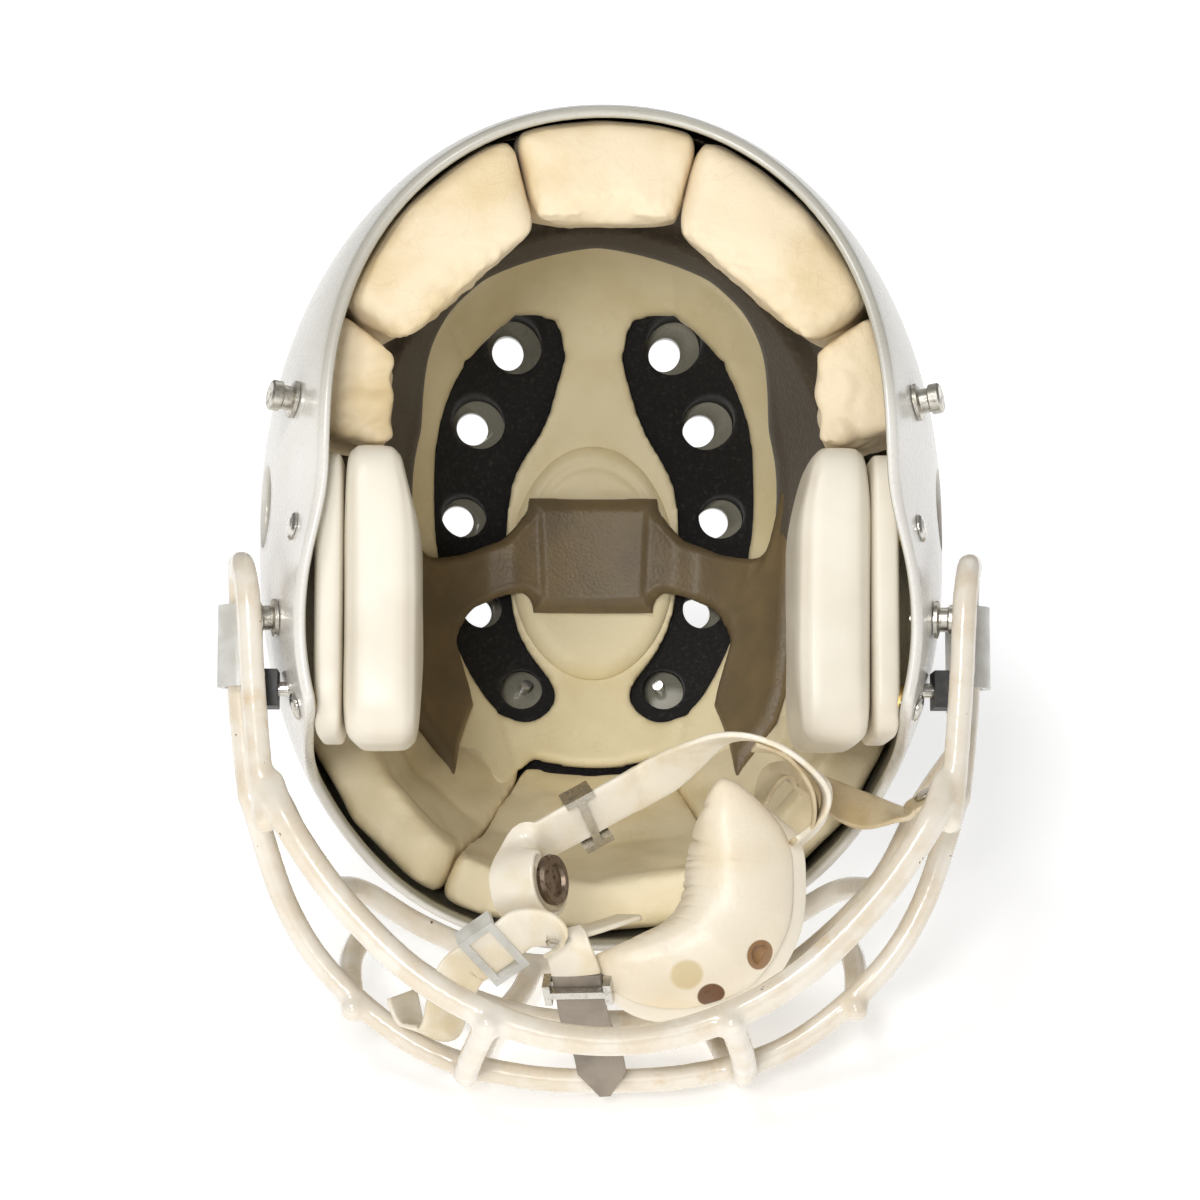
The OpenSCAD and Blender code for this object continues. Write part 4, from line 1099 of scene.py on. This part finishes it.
turned = np.linspace(0, 2 * np.pi, 120, endpoint=False)[None]
run = np.linspace(0, 1, len(CUP_IN))[:, None]
taper = np.clip(1 - np.abs(2 * run - 1) ** 8, 0, 1) ** 0.5
fold = (1 - np.abs(np.sin(run * 62 + 1.8 * np.sin(run * 17)))) ** 2.5
fold = fold * ease(run / 0.06) * ease((0.97 - run) / 0.1)
pinch = 1 - (0.21 + 0.1 * np.sin(run * 61)) * fold * np.exp(-((turned - 2.65) / 0.62) ** 2)
pad_v = 0.49 + 0.505 * taper * pinch * soft(np.cos(turned), 0.9)
pad_lift = 3.0 + 7.0 * taper * soft(np.sin(turned), 0.8) - 9 * (1 - pinch)
cup_pad = grid_piece("Chin_Cup_Pad", cup_grid(pad_v, pad_lift), cup_vinyl)
cut(cup_pad, *[drill((x, -125, z), (x, -96, z), 3.0) for x, z in ((48.5, -148), (33, -162))])
push(cup_pad, lambda p, n: 0.3 * wave(p, 24, 71))
dress(cup_pad, "chin_strap", "cup_pad", "chin_cup_pad")

skin_v = 0.52 + 0.52 * taper ** 0.5 * soft(np.cos(turned), 0.9)
skin_lift = -1.0 + 0.95 * soft(np.sin(turned), 0.6)
cup_skin = grid_piece("Chin_Cup_Skin", cup_grid(skin_v, skin_lift), jaw_vinyl)
dress(cup_skin, "chin_strap", "cup_skin", "chin_cup")

# %% [markdown]
# Webbing is a flat tape swept along a path: each section is a rounded rectangle whose long side
# lies across the path. The routes follow those of the CAD source to within 4 mm, but the two
# that meet the cup start further in, under its rim, and a short beige under-layer is added.

# %% Straps
def tape_grid(route, wide=16.0, thick=2.0, point=0.0):
    """Sections c(u) w/2 across and s(u) t/2 out, with c and s raised to low powers. The ends
    close flat, or the last point mm narrow to a quarter of the width. A route's entries are a
    point in mm and the direction across the tape there."""
    path = smooth_path([p for p, _ in route], 10)
    across = smooth_path([q for _, q in route], 10)
    t = tangents(path)
    side = unit(across - t * np.sum(across * t, -1, keepdims=True))
    out = np.cross(t, side)
    u = np.linspace(0, 2 * np.pi, 40, endpoint=False)
    c, s = soft(np.cos(u), 0.22), soft(np.sin(u), 0.5)
    left = np.linalg.norm(path - path[-1], axis=1)
    narrow = np.minimum(1, 0.25 + 0.75 * left / point) if point else np.ones(len(path))

    def section(i, k):
        """The closed ring at entry i of the path, with its size multiplied by k."""
        across, up = wide / 2 * k * narrow[i] * c, thick / 2 * k * s
        return path[i] + side[i] * across[:, None] + out[i] * up[:, None]

    first, last = section(0, 0.93) - t[0] * 0.05, section(-1, 0.93) + t[-1] * 0.05
    body = [section(i, 1.0) for i in range(len(path))]
    flat = lambda i: section(i, 0.93).mean(0) + 0 * first
    return np.array([flat(0), first, *body, last, flat(-1)])


def straight(a, b, across):
    """Five evenly spaced entries of a route along a straight stretch."""
    return [(np.array(a) + (np.array(b) - np.array(a)) * k, across) for k in np.linspace(0, 1, 5)]


roll_axis = unit(np.array([0.85, -0.5, 0.1]))
roll_y = unit(np.cross(roll_axis, [0, 0, 1]))
roll_x = unit(np.cross(np.cross(roll_axis, [0, 0, 1]), roll_axis))
ROLL_CENTRE, ROLL_RADIUS = np.array([-25, -89, -125]), 11
roll = [(ROLL_CENTRE + ROLL_RADIUS * (cos_of(a) * roll_x + sin_of(a) * roll_y), roll_axis)
        for a in range(30, 301, 45)]
UPPER_ROUTE = [([59.5, -84, -113], [0.2, 1, 0]), ([69, -81, -104], [0.2, 1, 0]),
               ([67.5, -96, -93], [0.1, 1, 0]), ([52, -109, -82], [0, 1, 0.1]),
               ([35, -104, -80], [0.1, 1, -0.1]),
               *straight([16, -86, -91], [-22, -88, -112], [0.36, 0.66, -0.65]), *roll]
LOOP_ROUTE = [([58.5, -85, -113], [0.2, 1, 0]), ([66.5, -83, -106], [0.2, 1, 0]),
              ([64.5, -93, -95], [0.1, 1, 0]), ([56, -103, -85.5], [0, 1, 0.1]),
              ([46, -104, -82.5], [0, 1, -0.1])]
LOWER_ROUTE = [([-66, -70, -160], [0.5, 0.6, -0.3]), ([-62, -70, -170], [0.5, 0.7, -0.2]),
               ([-54, -75, -172], [0.4, 0.8, -0.3]), ([-50, -87, -162], [0.3, 0.8, -0.5]),
               *straight([-46, -95, -153], [-27, -100, -140], [0.42, 0.62, -0.66]),
               ([-19, -105, -140], [0.5, 0.5, -0.7]), ([-13, -103, -146], [0.7, 0.3, -0.6]),
               ([-10, -96, -154], [1, 0, -0.2])]
TAIL_ROUTE = [(p, [1, 0, -0.2]) for p in ([-10, -96, -154], [-8.5, -89.5, -161], [-7, -83, -168],
                                          [-2.5, -73.6, -179.4], [0, -64.6, -192.4])]
RIGHT_ROUTE = [([49, -76, -102], [0, 1, 0.2]), ([57, -67, -89], [0, 1, 0.5]),
               ([70, -62, -93], [0.2, 0.8, 0.6]), ([84, -63, -100], [0.25, 0.6, 0.75]),
               *straight([97, -66.5, -101.5], [111.5, -69, -92], [0, 1, 0.3])]
LINK_ROUTE = [(p, [0.1, 1, 0.2]) for p in ([-17.2, -95.2, -143], [-5, -88, -139.5], [7, -81.2, -135.6])]

STRAPS = [("Strap_Upper", tape_grid(UPPER_ROUTE), white_webbing, ["strap_upper"]),
          ("Strap_Loop", tape_grid(LOOP_ROUTE, wide=13, thick=1.6), beige_webbing, []),
          ("Strap_Lower", tape_grid(LOWER_ROUTE), white_webbing, ["strap_lower"]),
          ("Strap_Tail", tape_grid(TAIL_ROUTE, point=9), grey_webbing, []),
          ("Strap_Right", tape_grid(RIGHT_ROUTE), beige_webbing, ["strap_right"]),
          ("Strap_Link", tape_grid(LINK_ROUTE), white_webbing, ["strap_link"])]
for name, grid, webbing, nodes in STRAPS:
    dress(grid_piece(name, grid, webbing), "chin_strap", "webbing", *nodes)

# %% [markdown]
# The small hard parts keep the CAD solids as they are and only take their finish.

# %% Finishes of the parts kept from the CAD model
KEPT = {milky: ["side_clip_left", "side_clip_right", "brow_clips", "buckle_lower"],
        black_nylon: ["clip_spacers"],
        nickel: ["guard_screws", "jaw_pad_screws", "crown_screws", "buckle_upper", "buckle_end",
                 "strap_rivet"],
        rusty: ["strap_snap"],
        dull_nickel: ["snap_studs"],
        brass: ["tee_nuts"]}
for material, names in KEPT.items():
    for name in names:
        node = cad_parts[name]
        node.data.materials.clear()
        node.data.materials.append(material)

# %% [markdown]
# The ground is a plain white sheet that runs far out of view. It glows a little more with
# distance, as a lit studio sweep does.

# %% Ground
REACH, DROP = 20, -0.001
CORNERS = [(-REACH, -REACH, DROP), (REACH, -REACH, DROP), (REACH, REACH, DROP), (-REACH, REACH, DROP)]
sheet, tree, shader, place = finish("White_Ground_Sheet", Roughness=0.9, Emission_Color=(1, 1, 1, 1))
far = add(tree, "VectorMath", place, operation="LENGTH").outputs["Value"]
glow = add(tree, "MapRange", Value=far, From_Min=0.2, From_Max=1.4, To_Min=0.46, To_Max=1.1).outputs[0]
clouds = add(tree, "TexNoise", Vector=place, Scale=mm(400), Detail=4).outputs[0]
tone = add(tree, "Mix", data_type="RGBA", Factor=clouds, A="fbfbfb", B="f6f6f6").outputs[2]
feed(shader, Base_Color=tone, Emission_Strength=glow)
ground = bpy.data.meshes.new("Ground")
ground.from_pydata(CORNERS, [], [(0, 1, 2, 3)])
ground.materials.append(sheet)
floor = bpy.data.objects.new("Ground", ground)
bpy.context.scene.collection.objects.link(floor)
